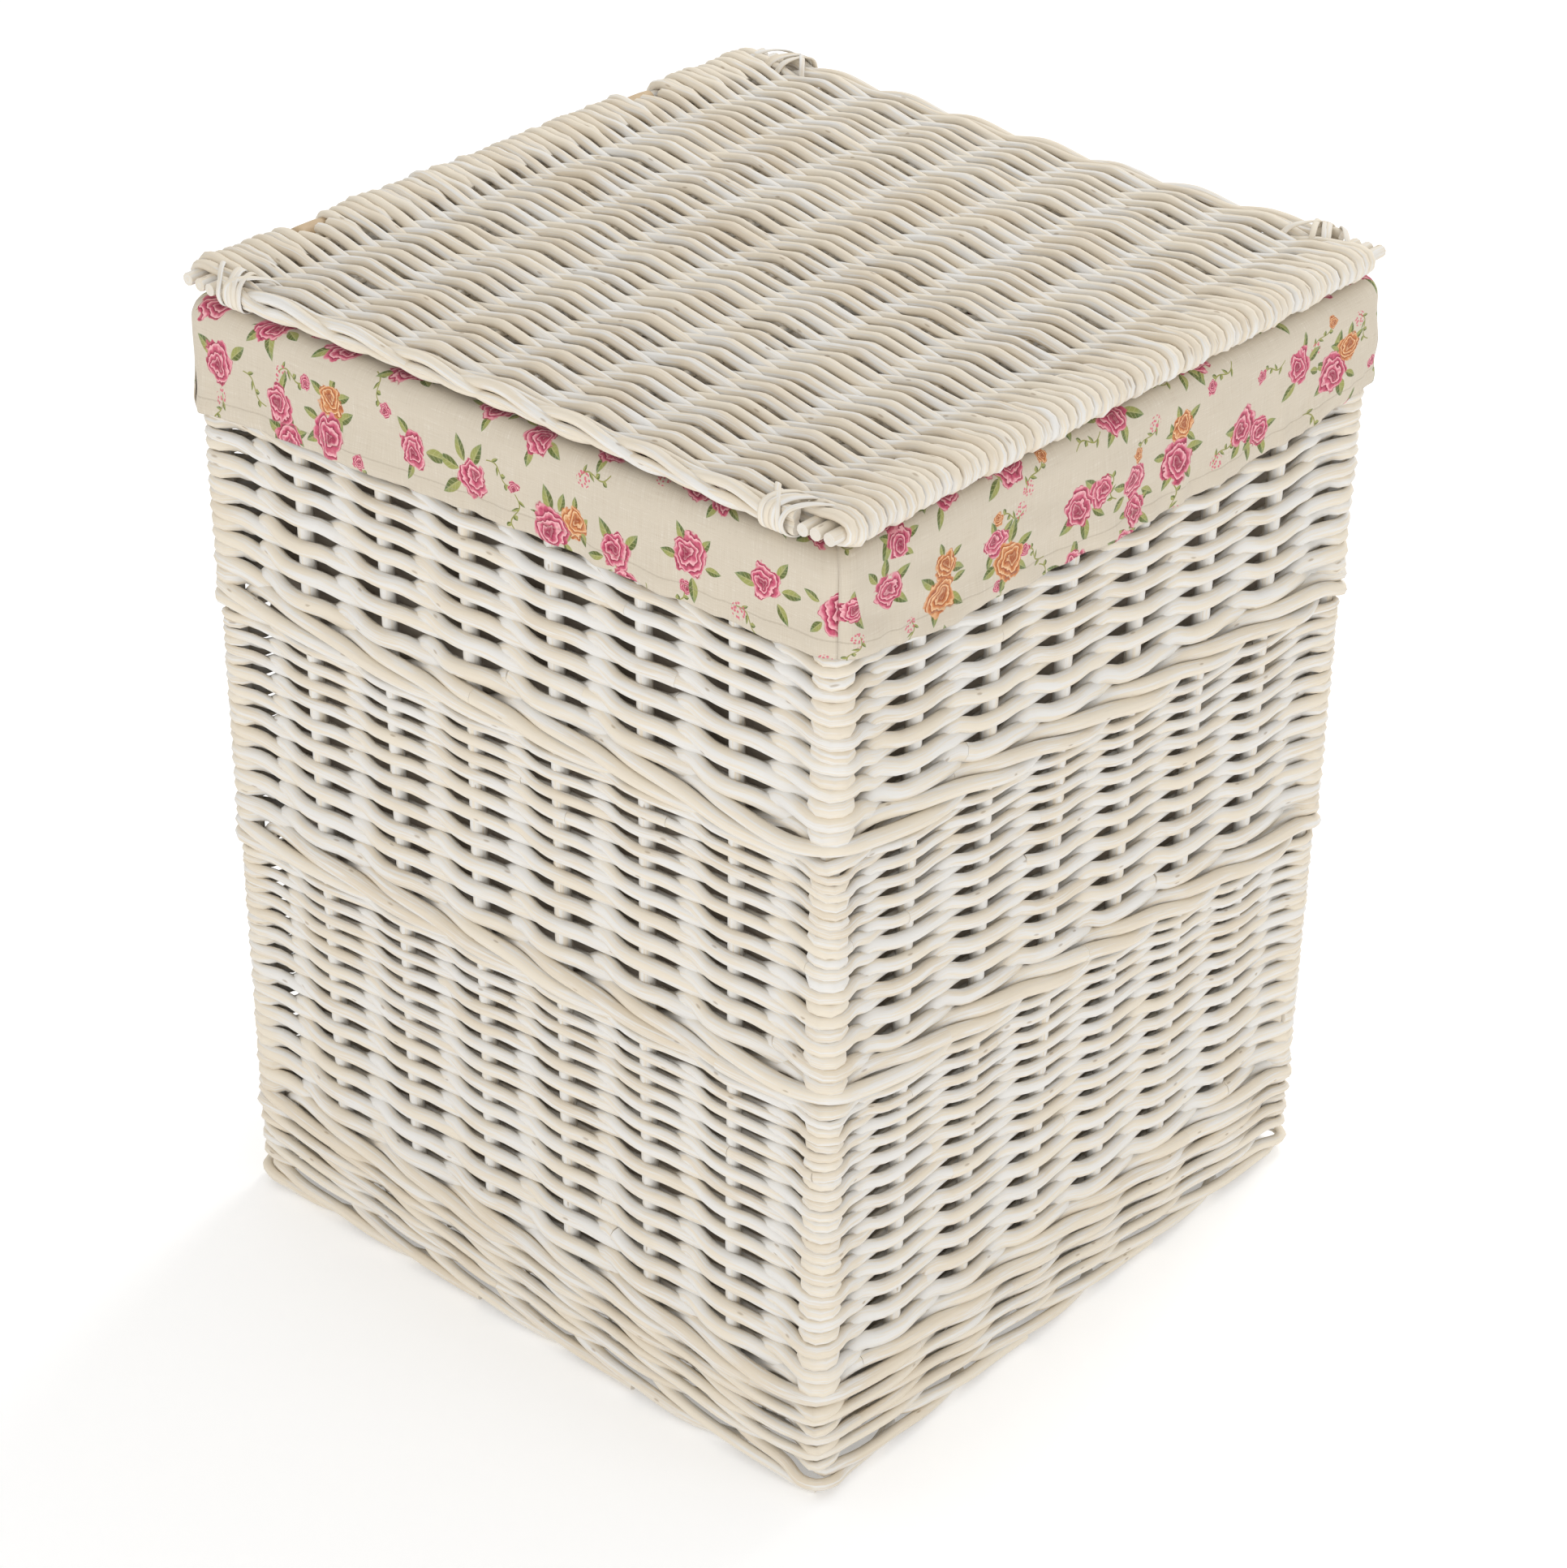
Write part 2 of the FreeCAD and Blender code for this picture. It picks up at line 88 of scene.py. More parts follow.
def smooth_path(knots, spacing):
    """Points about this far apart on a smooth curve through the knots, which are rows of coordinates."""
    knots = np.asarray(knots, float)
    chord = np.linalg.norm(np.diff(knots[:, :3], axis=0), axis=1)
    at = np.concatenate([[0], np.cumsum(chord)])
    slope = np.diff(knots, axis=0) / chord[:, None]
    share = (chord[1:] / (chord[1:] + chord[:-1]))[:, None]
    tangent = np.vstack([slope[:1], slope[:-1] * share + slope[1:] * (1 - share), slope[-1:]])
    count = max(3, int(round(at[-1] / spacing)) + 1)
    along = np.linspace(0, at[-1], count)
    span = np.clip(np.searchsorted(at, along, side="right") - 1, 0, len(chord) - 1)
    step = chord[span][:, None]
    t = ((along - at[span]) / chord[span])[:, None]
    return (
        knots[span] * (2 * t**3 - 3 * t**2 + 1)
        + knots[span + 1] * (3 * t**2 - 2 * t**3)
        + step * (tangent[span] * (t**3 - 2 * t**2 + t) + tangent[span + 1] * (t**3 - t**2)))


def slow_noise(rng, count, spacing, wavelength):
    """Smooth random values from about -1 to 1 along a path with this many points."""
    length = (count - 1) * spacing
    knots = max(4, int(length / wavelength) + 3)
    values = rng.uniform(-1, 1, knots)
    at = np.linspace(0, knots - 1.001, count)
    index = at.astype(int)
    t = eased(at - index)
    return values[index] * (1 - t) + values[np.minimum(index + 1, knots - 1)] * t


def eased(share):
    """A share from 0 to 1 that starts and ends slowly."""
    return share * share * (3 - 2 * share)


def unit(vectors):
    """The vectors scaled to length 1."""
    return vectors / np.maximum(np.linalg.norm(vectors, axis=-1, keepdims=True), 1e-12)


def run(path):
    """The distance along a path at each of its points."""
    return np.concatenate([[0], np.cumsum(np.linalg.norm(np.diff(path, axis=0), axis=1))])


class MeshParts:
    """Gathers vertices, faces and their shading values for one mesh."""

    def __init__(self):
        self.points = []
        self.faces = []
        self.grain = []
        self.rods = []
        self.washes = []
        self.count = 0

    def add(self, points, faces, grain, rod, wash):
        """Faces hold indices into points, and grain holds one pair for each corner of each face."""
        self.points.append(np.asarray(points).reshape(-1, 3))
        self.faces += [[index + self.count for index in face] for face in faces]
        self.grain.append(np.asarray(grain, float).reshape(-1, 2))
        self.rods.append(np.full(len(self.points[-1]), float(rod)))
        self.washes.append(np.broadcast_to(wash, len(self.points[-1])).astype(float))
        self.count += len(self.points[-1])

    def build(self, name, material, body, slot, nodes):
        """The finished object, riding on its body in place of its CAD nodes."""
        mesh = bpy.data.meshes.new(name)
        mesh.from_pydata(np.concatenate(self.points).tolist(), [], self.faces, shade_flat=False)
        layer = mesh.uv_layers.new(name="Grain")
        layer.data.foreach_set("uv", np.concatenate(self.grain).ravel())
        for attribute, values in (("rod", self.rods), ("wash", self.washes)):
            made = mesh.attributes.new(attribute, "FLOAT", "POINT")
            made.data.foreach_set("value", np.concatenate(values))
        mesh.materials.append(material)
        piece = bpy.data.objects.new(name, mesh)
        bpy.context.scene.collection.objects.link(piece)
        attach(piece, body)
        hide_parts(*nodes)
        return piece


CUT_END_WASH = 0.5
UP = (0, 0, 1)


def add_rod(parts, path, radius, guide, rng, sides=8, wash=0.5, tall=1.0):
    """A rod along a path. guide is a direction that the path never runs along, and the seam faces away from it.

    radius may change along the path, and so may tall, which stretches the rod along its guide.
    """
    count = len(path)
    radius = np.broadcast_to(radius, count).astype(float)
    tangent = unit(np.gradient(path, axis=0))
    guide = np.broadcast_to(np.asarray(guide, float), path.shape)
    up = unit(guide - tangent * np.sum(guide * tangent, axis=1, keepdims=True))
    side = np.cross(tangent, up)
    angle = np.linspace(0, 2 * math.pi, sides, endpoint=False) + math.pi
    up = up * np.broadcast_to(tall, count)[:, None]
    spread = up[:, None] * np.cos(angle)[None, :, None] + side[:, None] * np.sin(angle)[None, :, None]
    points = path[:, None] + radius[:, None, None] * spread
    along = run(path)
    start = rng.uniform(0, 50)
    girth = 2 * math.pi * float(radius.mean()) / sides
    ring = np.arange(count - 1)[:, None] * sides
    near = np.arange(sides)[None, :]
    far = (near + 1) % sides
    faces = np.stack([ring + near, ring + near + sides, ring + far + sides, ring + far], axis=-1).reshape(-1, 4)
    low = np.broadcast_to(along[:-1, None], (count - 1, sides)) + start
    high = np.broadcast_to(along[1:, None], (count - 1, sides)) + start
    left = np.broadcast_to(near * girth, (count - 1, sides))
    right = left + girth
    grain = np.stack([
        np.stack([low, left], -1), np.stack([high, left], -1),
        np.stack([high, right], -1), np.stack([low, right], -1)], axis=2)
    seed = rng.uniform()
    parts.add(points, faces.tolist(), grain, seed, np.repeat(np.broadcast_to(wash, count), sides))
    for end, order in ((0, 1), (count - 1, -1)):
        rim = points[end]
        centre = path[end] - tangent[end] * radius[end] * 0.12 * order
        cap = [[k, (k + 1) % sides, sides][::order] for k in range(sides)]
        disc = [[[0.3 + 0.3 * math.cos(angle[k]), 0.3 * math.sin(angle[k])] for k in (0, 1, 2)]] * sides
        parts.add(np.vstack([rim, centre]), cap, disc, seed, CUT_END_WASH)


def add_strip(parts, path, width, thickness, face, rng, wash=0.5):
    """A flat skein or strap along a path. face is the direction of its broad side at each point."""
    count = len(path)
    tangent = unit(np.gradient(path, axis=0))
    face = np.broadcast_to(np.asarray(face, float), path.shape)
    across = unit(np.cross(tangent, face))
    normal = np.cross(across, tangent)
    profile = []
    for place in np.linspace(-1, 1, 5):
        profile.append((place * width / 2, thickness / 2 * (1 - 0.55 * place**4)))
    for place in np.linspace(1, -1, 5):
        profile.append((place * width / 2, -thickness / 2 * (1 - 0.55 * place**4)))
    profile = np.array(profile)
    sides = len(profile)
    points = (
        path[:, None] + across[:, None] * profile[None, :, :1] + normal[:, None] * profile[None, :, 1:])
    along = run(path) + rng.uniform(0, 50)
    faces = []
    grain = []
    for row in range(count - 1):
        for k in range(sides):
            j = (k + 1) % sides
            faces.append([row * sides + k, row * sides + j, (row + 1) * sides + j, (row + 1) * sides + k])
            a, b = profile[k][0], profile[j][0]
            grain += [[along[row], a], [along[row], b], [along[row + 1], b], [along[row + 1], a]]
    for row, order in ((0, -1), (count - 1, 1)):
        faces.append([row * sides + k for k in range(sides)][::order])
        grain += [[along[row], profile[k][0]] for k in range(sides)]
    parts.add(points, faces, grain, rng.uniform(), wash)


# Sizes and colours


def length(name, description, default):
    """A length property in metres."""
    return FloatProperty(name=name, description=description, default=default, unit="LENGTH", precision=5)


def colour(name, description, default):
    """A linear colour property."""
    return FloatVectorProperty(
        name=name, description=description, default=default, subtype="COLOR", size=3, min=0, max=1)


class BasketSizes(bpy.types.PropertyGroup):
    """Sizes of the basket, in metres."""

    plane_floor: length("Plane at floor", "Half the distance between opposite rows of stakes, at the floor", 0.204)
    plane_rim: length("Plane at rim", "Half the distance between opposite rows of stakes, at the rim", 0.210)
    rim_height: length("Rim height", "Height of the rim", 0.560)
    stake: length("Stake radius", "Radius of the stakes", 0.0044)
    post: length("Post radius", "Radius of the corner posts", 0.0048)
    detail: length("Detail", "Length of one segment of a rod", 0.0052)
    lid_middle: length("Lid middle", "Height of the lid's middle plane", 0.570)
    lid_edge: length("Lid edge", "Distance from the middle to the outermost stick of the lid", 0.214)
    lid_pitch: length("Lid pitch", "Distance between neighbouring rods of the lid", 0.00505)
    lid_stick: length("Lid stick radius", "Radius of the lid's sticks", 0.0035)
    lid_rods: IntProperty(name="Lid rods", description="Number of rods woven across the lid", default=84)


class BasketColours(bpy.types.PropertyGroup):
    """Linear colours of the basket's materials."""

    willow: colour("Willow", "Cream of the willow where the wash is thin", (0.752, 0.675, 0.55))
    willow_dark: colour("Willow dark", "Fine streaks and old wood", (0.60, 0.49, 0.35))
    wash: colour("Wash", "White wash that fills the recesses", (0.745, 0.73, 0.70))
    strap: colour("Strap", "Hinge straps", (0.60, 0.45, 0.28))
    linen: colour("Linen", "Ground of the lining's cloth", (0.61, 0.54, 0.435))
    petal: colour("Petal", "Middle tone of the pink roses", (0.53, 0.070, 0.145))
    amber: colour("Amber", "Middle tone of the amber roses", (0.54, 0.18, 0.050))
    leaf: colour("Leaf", "Light half of the printed leaves", (0.30, 0.31, 0.085))
    floor: colour("Floor", "Pale floor and backdrop", (0.86, 0.86, 0.86))


# Wall weave

# Each band's bottom, top and number of rows
BANDS = {
    "lower": (0.0500, 0.2360, 14),
    "middle": (0.2360, 0.3820, 11),
    "upper": (0.3820, 0.5430, 12),
}
# Height of a band's first row, which is made of the thick butts
BUTT_ROW = 0.0172
# How far the rows rise at each corner, from the front left one
TILT = (0.007, -0.016, -0.008, -0.006)
# How far the strands stand out where they go round a corner post
CORNER_WRAP = 0.0070
# Shares of a row's height: the radius of its rods, the sink in front of a stake and the sink behind one
ROD_SHARE = 0.240
FRONT_SINK = 0.235
BACK_SINK = 0.36
# How much taller than wide the rods are, and how tall they are on the corner posts as a share of the row
WALE_TALL = 1.06
TWINED_TALL = 1.28
CORNER_SHARE = 0.56


def tilted(travel, height):
    """The height of a row that is nominally at this height, since the rows rise and fall a little round the basket."""
    travel = np.asarray(travel, float) % ROUND_UNITS
    corner = np.floor(travel / SIDE_UNITS).astype(int)
    t = eased(travel / SIDE_UNITS - corner)
    levels = np.array(TILT)
    lift = levels[corner % 4] * (1 - t) + levels[(corner + 1) % 4] * t
    z = np.asarray(height, float)
    share = np.interp(z, [0.05, 0.236, 0.382, 0.543], [0.0, 1.0, 0.8, 0.0])
    ripple = 0.0009 * np.sin(travel * 1.37 + z * 61) * np.interp(z, [0.05, 0.1, 0.5, 0.543], [0, 1, 1, 0])
    return z + lift * share + ripple


def band_rows(name):
    """(middle height, row height) of each row in a band, from thick butts at the bottom to thin tips at the top."""
    bottom, top, rows = BANDS[name]
    last = 2 * (top - bottom) / rows - BUTT_ROW
    heights = np.linspace(BUTT_ROW, last, rows)
    edges = bottom + np.concatenate([[0], np.cumsum(heights)])
    return [((edges[k] + edges[k + 1]) / 2, heights[k]) for k in range(rows)]


def twined_knots(strand, row_height, depth):
    """(travel, out, rise) knots of one of the two strands of a row, once round the basket.

    A strand is in front of every other upright, and sinks as it passes in front. At a corner the strand
    that would be behind comes out round the post too, close below the other one.
    """
    drop = FRONT_SINK * row_height
    level = row_height / 4
    knots = []
    for side in range(4):
        start = side * SIDE_UNITS
        first = start + 1
        leads = strand == side % 2
        phase = 0 if leads else 1
        for eighth in range(4, 53, 2):
            place = eighth / 8
            wave = math.pi * (place - phase)
            behind = max(0.0, -math.cos(wave))
            out = depth * (math.cos(wave) + 0.03 * math.cos(3 * wave)) * (1 - 0.15 * behind)
            rise = -drop * (0.57 * math.sin(wave) - 0.43 * math.sin(3 * wave))
            rise -= BACK_SINK * row_height * math.sqrt(behind)
            knots.append((first + place, out, rise))
        height = level if leads else -level
        knots += [(start + share, CORNER_WRAP, height) for share in (0, 0.33, 0.67)]
        if leads:
            knots += [
                (first, CORNER_WRAP, level * 0.96),
                (first + 0.26, depth * 0.72, level * 0.45),
                (first + 6.74, -depth * 0.68, -level * 1.6),
                (first + 6.860, CORNER_WRAP * 0.05, -level),
                (first + 6.91, CORNER_WRAP * 0.80, -level)]
        else:
            knots += [
                (first, CORNER_WRAP, -level),
                (first + 0.09, CORNER_WRAP * 0.80, -level),
                (first + 0.140, CORNER_WRAP * 0.05, -level),
                (first + 0.26, -depth * 0.68, -level * 1.5),
                (first + 6.74, depth * 0.74, level * 1.02)]
    return knots


def round_stations():
    """The travel of each corner post and each stake, once round the basket."""
    stations = []
    for side in range(4):
        start = side * SIDE_UNITS
        stations += [start + 0.5] + [start + 1 + stake for stake in range(1, STAKES + 1)]
    return stations


def wale_knots(strand, row_height, depth):
    """(travel, out, rise) knots of one of the three strands of a wale, in front of two stakes and behind the next."""
    knots = []
    stations = round_stations()
    for number, travel in enumerate(stations):
        corner = travel % SIDE_UNITS == 0.5
        step = (number + strand) % 3
        reach = CORNER_WRAP + 0.0006 if corner else depth + 0.0006
        out = (reach, reach + 0.0008, -depth * 0.9)[step]
        rise = (0.42, -0.12, -0.30)[step] * row_height
        knots.append((travel, out, rise))
        following = stations[(number + 1) % len(stations)]
        gap = (following - travel) % ROUND_UNITS
        middle = (depth + 0.0012, 0.0004, 0.0002)[step]
        lift = (0.20, -0.46, 0.44)[step] * row_height
        if corner and step != 2:
            knots.append((travel + 0.5, CORNER_WRAP, rise * 0.9))
        knots.append((travel + gap * 0.52, middle, lift))
    return knots


def ring_path(knots, row_z, rng, spacing, wander):
    """The path of a strand once round the basket, from behind a stake of the back to the same place."""
    knots = np.array(sorted(knots))
    first = 2 * SIDE_UNITS + 5
    turn = int(np.searchsorted(knots[:, 0], first))
    later = knots[:turn + 2] + (ROUND_UNITS, 0, 0)
    knots = np.vstack([knots[turn:], later])
    count = len(knots)
    knots[:, 1] += rng.uniform(-1, 1, count) * wander * 0.5
    knots[:, 2] += rng.uniform(-1, 1, count) * wander
    height = tilted(knots[:, 0], np.full(count, row_z)) + knots[:, 2]
    return smooth_path(wall_points(knots[:, 0], knots[:, 1], height), spacing)


def split_rods(parts, path, radius, rng, spacing, tall=1.0, corner_height=None):
    """Adds a long strand as several rods end to end, each with its own grain and slightly its own thickness.

    At the corners the rods are pressed flat until they are corner_height high.
    """
    half = level_half(path[:, 2])
    beyond = np.minimum(np.abs(path[:, 0]), np.abs(path[:, 1])) - half
    pressed = eased(np.clip((beyond + 0.010) / 0.009, 0, 1))
    aim = corner_height / (1.8 * radius) if corner_height else tall
    start = 0
    while start < len(path) - 8:
        stop = min(len(path) - 1, start + int(rng.uniform(0.35, 0.85) / spacing))
        if len(path) - stop < int(0.2 / spacing):
            stop = len(path) - 1
        piece = path[start:stop + 1]
        thick = radius * (1 + 0.05 * slow_noise(rng, len(piece), spacing, 0.06)) * rng.uniform(0.94, 1.05)
        share = pressed[start:stop + 1]
        add_rod(
            parts, piece, thick * (1 - 0.10 * share), UP, rng, wash=front_wash(piece),
            tall=tall + (aim - tall) * share)
        start = stop


def front_wash(path):
    """How much wash a strand carries: least on its crests, where it is rubbed off, and most in the recesses."""
    half = level_half(path[:, 2])
    out = np.maximum(np.abs(path[:, 0]), np.abs(path[:, 1])) - half
    return np.clip(0.74 - 0.036 * (out + 0.002) / 0.001, 0.05, 1.0)


def wall_band(name, rng):
    """The rods of one band of the wall's weave."""
    parts = MeshParts()
    sizes = bpy.context.scene.basket_sizes
    for number, (middle, row_height) in enumerate(band_rows(name)):
        radius = ROD_SHARE * row_height
        depth = 0.0022 + radius * 0.70
        if number == 0:
            for strand in range(3):
                knots = wale_knots(strand, row_height, depth + 0.0014)
                path = ring_path(knots, middle, rng, sizes.detail, 0.0003)
                split_rods(parts, path, radius, rng, sizes.detail, WALE_TALL)
            continue
        for strand in range(2):
            knots = twined_knots(strand, row_height, depth)
            path = ring_path(knots, middle, rng, sizes.detail, 0.00045)
            split_rods(parts, path, radius, rng, sizes.detail, TWINED_TALL, row_height * CORNER_SHARE)
    return parts


class BASKET_OT_wall(bpy.types.Operator):
    """Weaves the three bands of the walls"""

    bl_idname = "basket.wall"
    bl_label = "Wall weave"

    def execute(self, context):
        """Makes one piece for each band."""
        for number, band in enumerate(BANDS):
            parts = wall_band(band, np.random.default_rng(40 + number))
            nodes = [f"{side}_{band}_weave" for side in SIDES]
            parts.build(f"wall_weave_{band}", material("Willow"), "basket", "willow_weave", nodes)
        return {"FINISHED"}


UPRIGHT_POINTS = 40
UPRIGHT_GAP = 0.013


class BASKET_OT_uprights(bpy.types.Operator):
    """Makes the stakes and the corner posts"""

    bl_idname = "basket.uprights"
    bl_label = "Stakes and posts"

    def execute(self, context):
        """Makes one piece for each side's stakes and one for each post."""
        sizes = context.scene.basket_sizes
        rng = np.random.default_rng(7)
        heights = np.linspace(0.017, 0.541, UPRIGHT_POINTS)
        for side, name in enumerate(SIDES):
            parts = MeshParts()
            for stake in range(1, STAKES + 1):
                sway = 0.012 * slow_noise(rng, UPRIGHT_POINTS, UPRIGHT_GAP, 0.12)
                lean = 0.0003 * slow_noise(rng, UPRIGHT_POINTS, UPRIGHT_GAP, 0.1)
                path = wall_points(side * SIDE_UNITS + 1 + stake + sway, lean, heights)
                radius = sizes.stake * rng.uniform(0.94, 1.06)
                radius = radius * (1 + 0.04 * slow_noise(rng, UPRIGHT_POINTS, UPRIGHT_GAP, 0.05))
                inward = wall_points(side * SIDE_UNITS + 1 + stake + sway, -1, heights) - path
                add_rod(parts, path, radius, -inward, rng, wash=0.8)
            parts.build(f"stakes_{name}", material("Willow"), "basket", "willow_rods", [f"{name}_stakes"])
        for side, name in enumerate(CORNERS):
            parts = MeshParts()
            path = wall_points(side * SIDE_UNITS + 0.5, 0, heights)
            swing = math.radians(225 + 90 * side)
            guide = (math.cos(swing), math.sin(swing), 0)
            add_rod(parts, path, sizes.post, guide, rng, 10, wash=0.6)
            parts.build(f"post_{name}", material("Willow"), "basket", "willow_rods", [f"{name}_post"])
        return {"FINISHED"}


# The wale above the foot: its rounds' middles, the height of a round, its depth and its rods' radius
WALE_LEVELS = (0.0228, 0.0335, 0.0462)
WALE_ROW = 0.0128
WALE_DEPTH = 0.0062
WALE_ROD = 0.0031
FOOT_ROD = 0.0034
# The stakes of each side whose ends are cut off short, outside the next stake but one
SHORT_ENDS = (1, 3)


class BASKET_OT_foot(bpy.types.Operator):
    """Makes the wale and the foot border"""

    bl_idname = "basket.foot"
    bl_label = "Wale and foot border"

    def execute(self, context):
        """Makes one piece for the wale and one for the border."""
        sizes = context.scene.basket_sizes
        rng = np.random.default_rng(3)
        parts = MeshParts()
        for middle in WALE_LEVELS:
            for strand in range(3):
                knots = wale_knots(strand, WALE_ROW, WALE_DEPTH)
                path = ring_path(knots, middle, rng, sizes.detail, 0.0004)
                split_rods(parts, path, WALE_ROD, rng, sizes.detail)
        parts.build("wale", material("Willow"), "basket", "willow_weave", ["base_wale"])
        parts = MeshParts()
        stations = round_stations()
        stations += [stations[0] + ROUND_UNITS, stations[1] + ROUND_UNITS, stations[2] + ROUND_UNITS]
        for number in range(4 * (STAKES + 1)):
            knots = foot_rod_knots(stations[number:number + 4])
            knots[:, 1:] += rng.uniform(-1, 1, (len(knots), 2)) * 0.0004
            if number % (STAKES + 1) in SHORT_ENDS:
                knots = knots[:-1]
                knots[-1, 1:] += (0.0036, 0.0012)
            path = smooth_path(wall_points(knots[:, 0], knots[:, 1], knots[:, 2]), sizes.detail * 0.8)
            thick = FOOT_ROD * rng.uniform(0.93, 1.06) * np.linspace(1.03, 0.93, len(path))
            add_rod(parts, path, thick, UP, rng, wash=front_wash(path))
        parts.build("foot_border", material("Willow"), "basket", "willow_weave", ["foot_border"])
        return {"FINISHED"}


def foot_rod_knots(stations):
    """(travel, out, height) knots of one stake's end, laid along the foot past the next stake.

    It is tucked behind the stake after that one.
    """
    own, following, second, third = stations
    gap = following - own
    knots = [
        (own, 0.0006, 0.0185),
        (own + gap * 0.10, 0.0030, 0.0158),
        (own + gap * 0.5, 0.0068, 0.0128),
        (following, 0.0086, 0.0095),
        (following + (second - following) * 0.5, 0.0072, 0.0060),
        (second - (second - following) * 0.12, 0.0034, 0.0040),
        (second + (third - second) * 0.10, -0.0020, 0.0038),
    ]
    for corner in np.arange(5) * SIDE_UNITS + 0.5:
        if abs(following - corner) < 0.01:
            knots = [knot for knot in knots if knot[0] != following]
            knots += [(corner - 0.5, 0.0096, 0.0100), (corner, 0.0098, 0.0095), (corner + 0.5, 0.0096, 0.0090)]
        if abs(second - corner) < 0.01:
            knots = knots[:-2] + [(corner - 0.62, 0.0064, 0.0043), (corner, 0.0052, 0.0037)]
    return np.array(sorted(knots))


# Lid

# How far the side edges are drawn in
BOW = 0.0045
LID_ROD = 0.0030
# Length of one segment of a rod, how far neighbouring rods fan at the edges, and the room beside a hinge loop
LID_STEP = 0.0036
FAN = 0.0017
LOOP_ROOM = 0.0135
CROSS_PLACES = [-0.15 + 0.05 * stick for stick in range(7)]


def lid_bow(x, y):
    """How far a point near a side edge of the lid moves in, since those edges are drawn in between the corners."""
    share = np.clip(np.abs(x) / 0.218, 0, 1) ** 4
    return -np.sign(x) * BOW * share * np.clip(1 - (y / 0.19) ** 2, 0, 1)


def edge_turn(edge, wrap, direction):
    """(along, rise) knots round the outermost stick, from below to above for direction 1 and back for -1."""
    knots = []
    for angle in (-90, -45, 0, 45, 90):
        swing = math.radians(angle * direction)
        knots.append((edge + wrap * math.cos(swing), wrap * math.sin(swing)))
    return knots


def lid_end(over, edge, lift, wrap, open_end):
    """(along, rise) knots of a rod's end at one edge, from inside the last cross stick out to its tip.

    A rod that comes over the bundle turns down round the edge and ends beneath. One that comes under it
    turns up round the edge and lies on the bundle, and its tip goes down behind it. Where a hinge loop
    takes the outermost stick, the rod stops before that.
    """
    sign = 1 if over else -1
    knots = [(edge - 0.0390, 0.0), (edge - 0.0240, sign * lift * 0.92), (edge - 0.0140, sign * lift * 1.12)]
    if open_end:
        return knots + [(edge - 0.0078, sign * lift * 0.98)]
    knots += edge_turn(edge, wrap, -sign)
    knots.append((edge - 0.0105, -sign * lift))
    if over:
        return knots + [(edge - 0.0190, -lift * 0.95)]
    return knots + [(edge - 0.0185, lift * 0.86), (edge - 0.0243, lift * 0.25)]


class BASKET_OT_lid(bpy.types.Operator):
    """Weaves the lid"""

    bl_idname = "basket.lid"
    bl_label = "Lid weave"

    def execute(self, context):
        """Makes one piece of all the rods that run from front to back."""
        sizes = context.scene.basket_sizes
        rng = np.random.default_rng(11)
        loops = [sum(corner[0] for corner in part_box(f"{side}_hinge_loop")) / 2 for side in ("left", "right")]
        parts = MeshParts()
        for number in range(sizes.lid_rods):
            place = (number - (sizes.lid_rods - 1) / 2) * sizes.lid_pitch
            radius = LID_ROD * rng.uniform(0.80, 1.12)
            lift = 0.0029 + radius * 0.62
            wrap = sizes.lid_stick + radius * 0.80
            over = number % 2 == 0
            hidden = number % 4 == 3
            fan = (-FAN, 0.0, FAN, 0.0)[number % 4]
            open_end = any(abs(place - loop) < LOOP_ROOM for loop in loops)
            knots = [(-along, rise) for along, rise in lid_end(over, sizes.lid_edge, lift, wrap, hidden)][::-1]
            for stick, along in enumerate(CROSS_PLACES):
                sign = -1 if (number + stick) % 2 == 0 else 1
                kink = rng.uniform(-0.003, 0.003)
                knots += [(along + kink + step, sign * lift * share) for step, share in (
                    (-0.0130, 0.53), (-0.0060, 0.82), (-0.0020, 0.98), (0.0020, 0.98), (0.0060, 0.82), (0.0130, 0.53))]
            knots += lid_end(over, sizes.lid_edge, lift, wrap, open_end or hidden)
            knots = np.array(knots)
            at = smooth_path(np.column_stack([knots, np.zeros(len(knots))]), LID_STEP)
            count = len(at)
            across = place + 0.0012 * slow_noise(rng, count, LID_STEP, 0.06)
            rise = at[:, 1] + 0.0006 * slow_noise(rng, count, LID_STEP, 0.04)
            edge = np.clip((np.abs(at[:, 0]) - 0.190) / 0.014, 0, 1)
            across = across + fan * edge
            path = np.column_stack([across + lid_bow(across, at[:, 0]), at[:, 0], sizes.lid_middle + rise])
            thick = radius * (1 + 0.06 * slow_noise(rng, count, LID_STEP, 0.05))
            wash = np.clip(0.38 - 0.08 * at[:, 1] / lift + 0.2 * (1 - np.abs(at[:, 1]) / lift), 0, 1)
            add_rod(parts, path, thick, (1, 0, 0), rng, wash=wash, tall=1 + (0.00352 / radius - 1) * edge)
        parts.build("lid_rods", material("Willow"), "lid", "willow_weave", ["lid_weave"])
        return {"FINISHED"}


# The lid's sticks: how far they reach each side, the bundles' pitch and the points along each
CROSS_REACH = 0.2165
BUNDLE_REACH = 0.2222
BUNDLE_PITCH = 0.0073
STICK_POINTS = 60
STICK_GAP = 0.0075


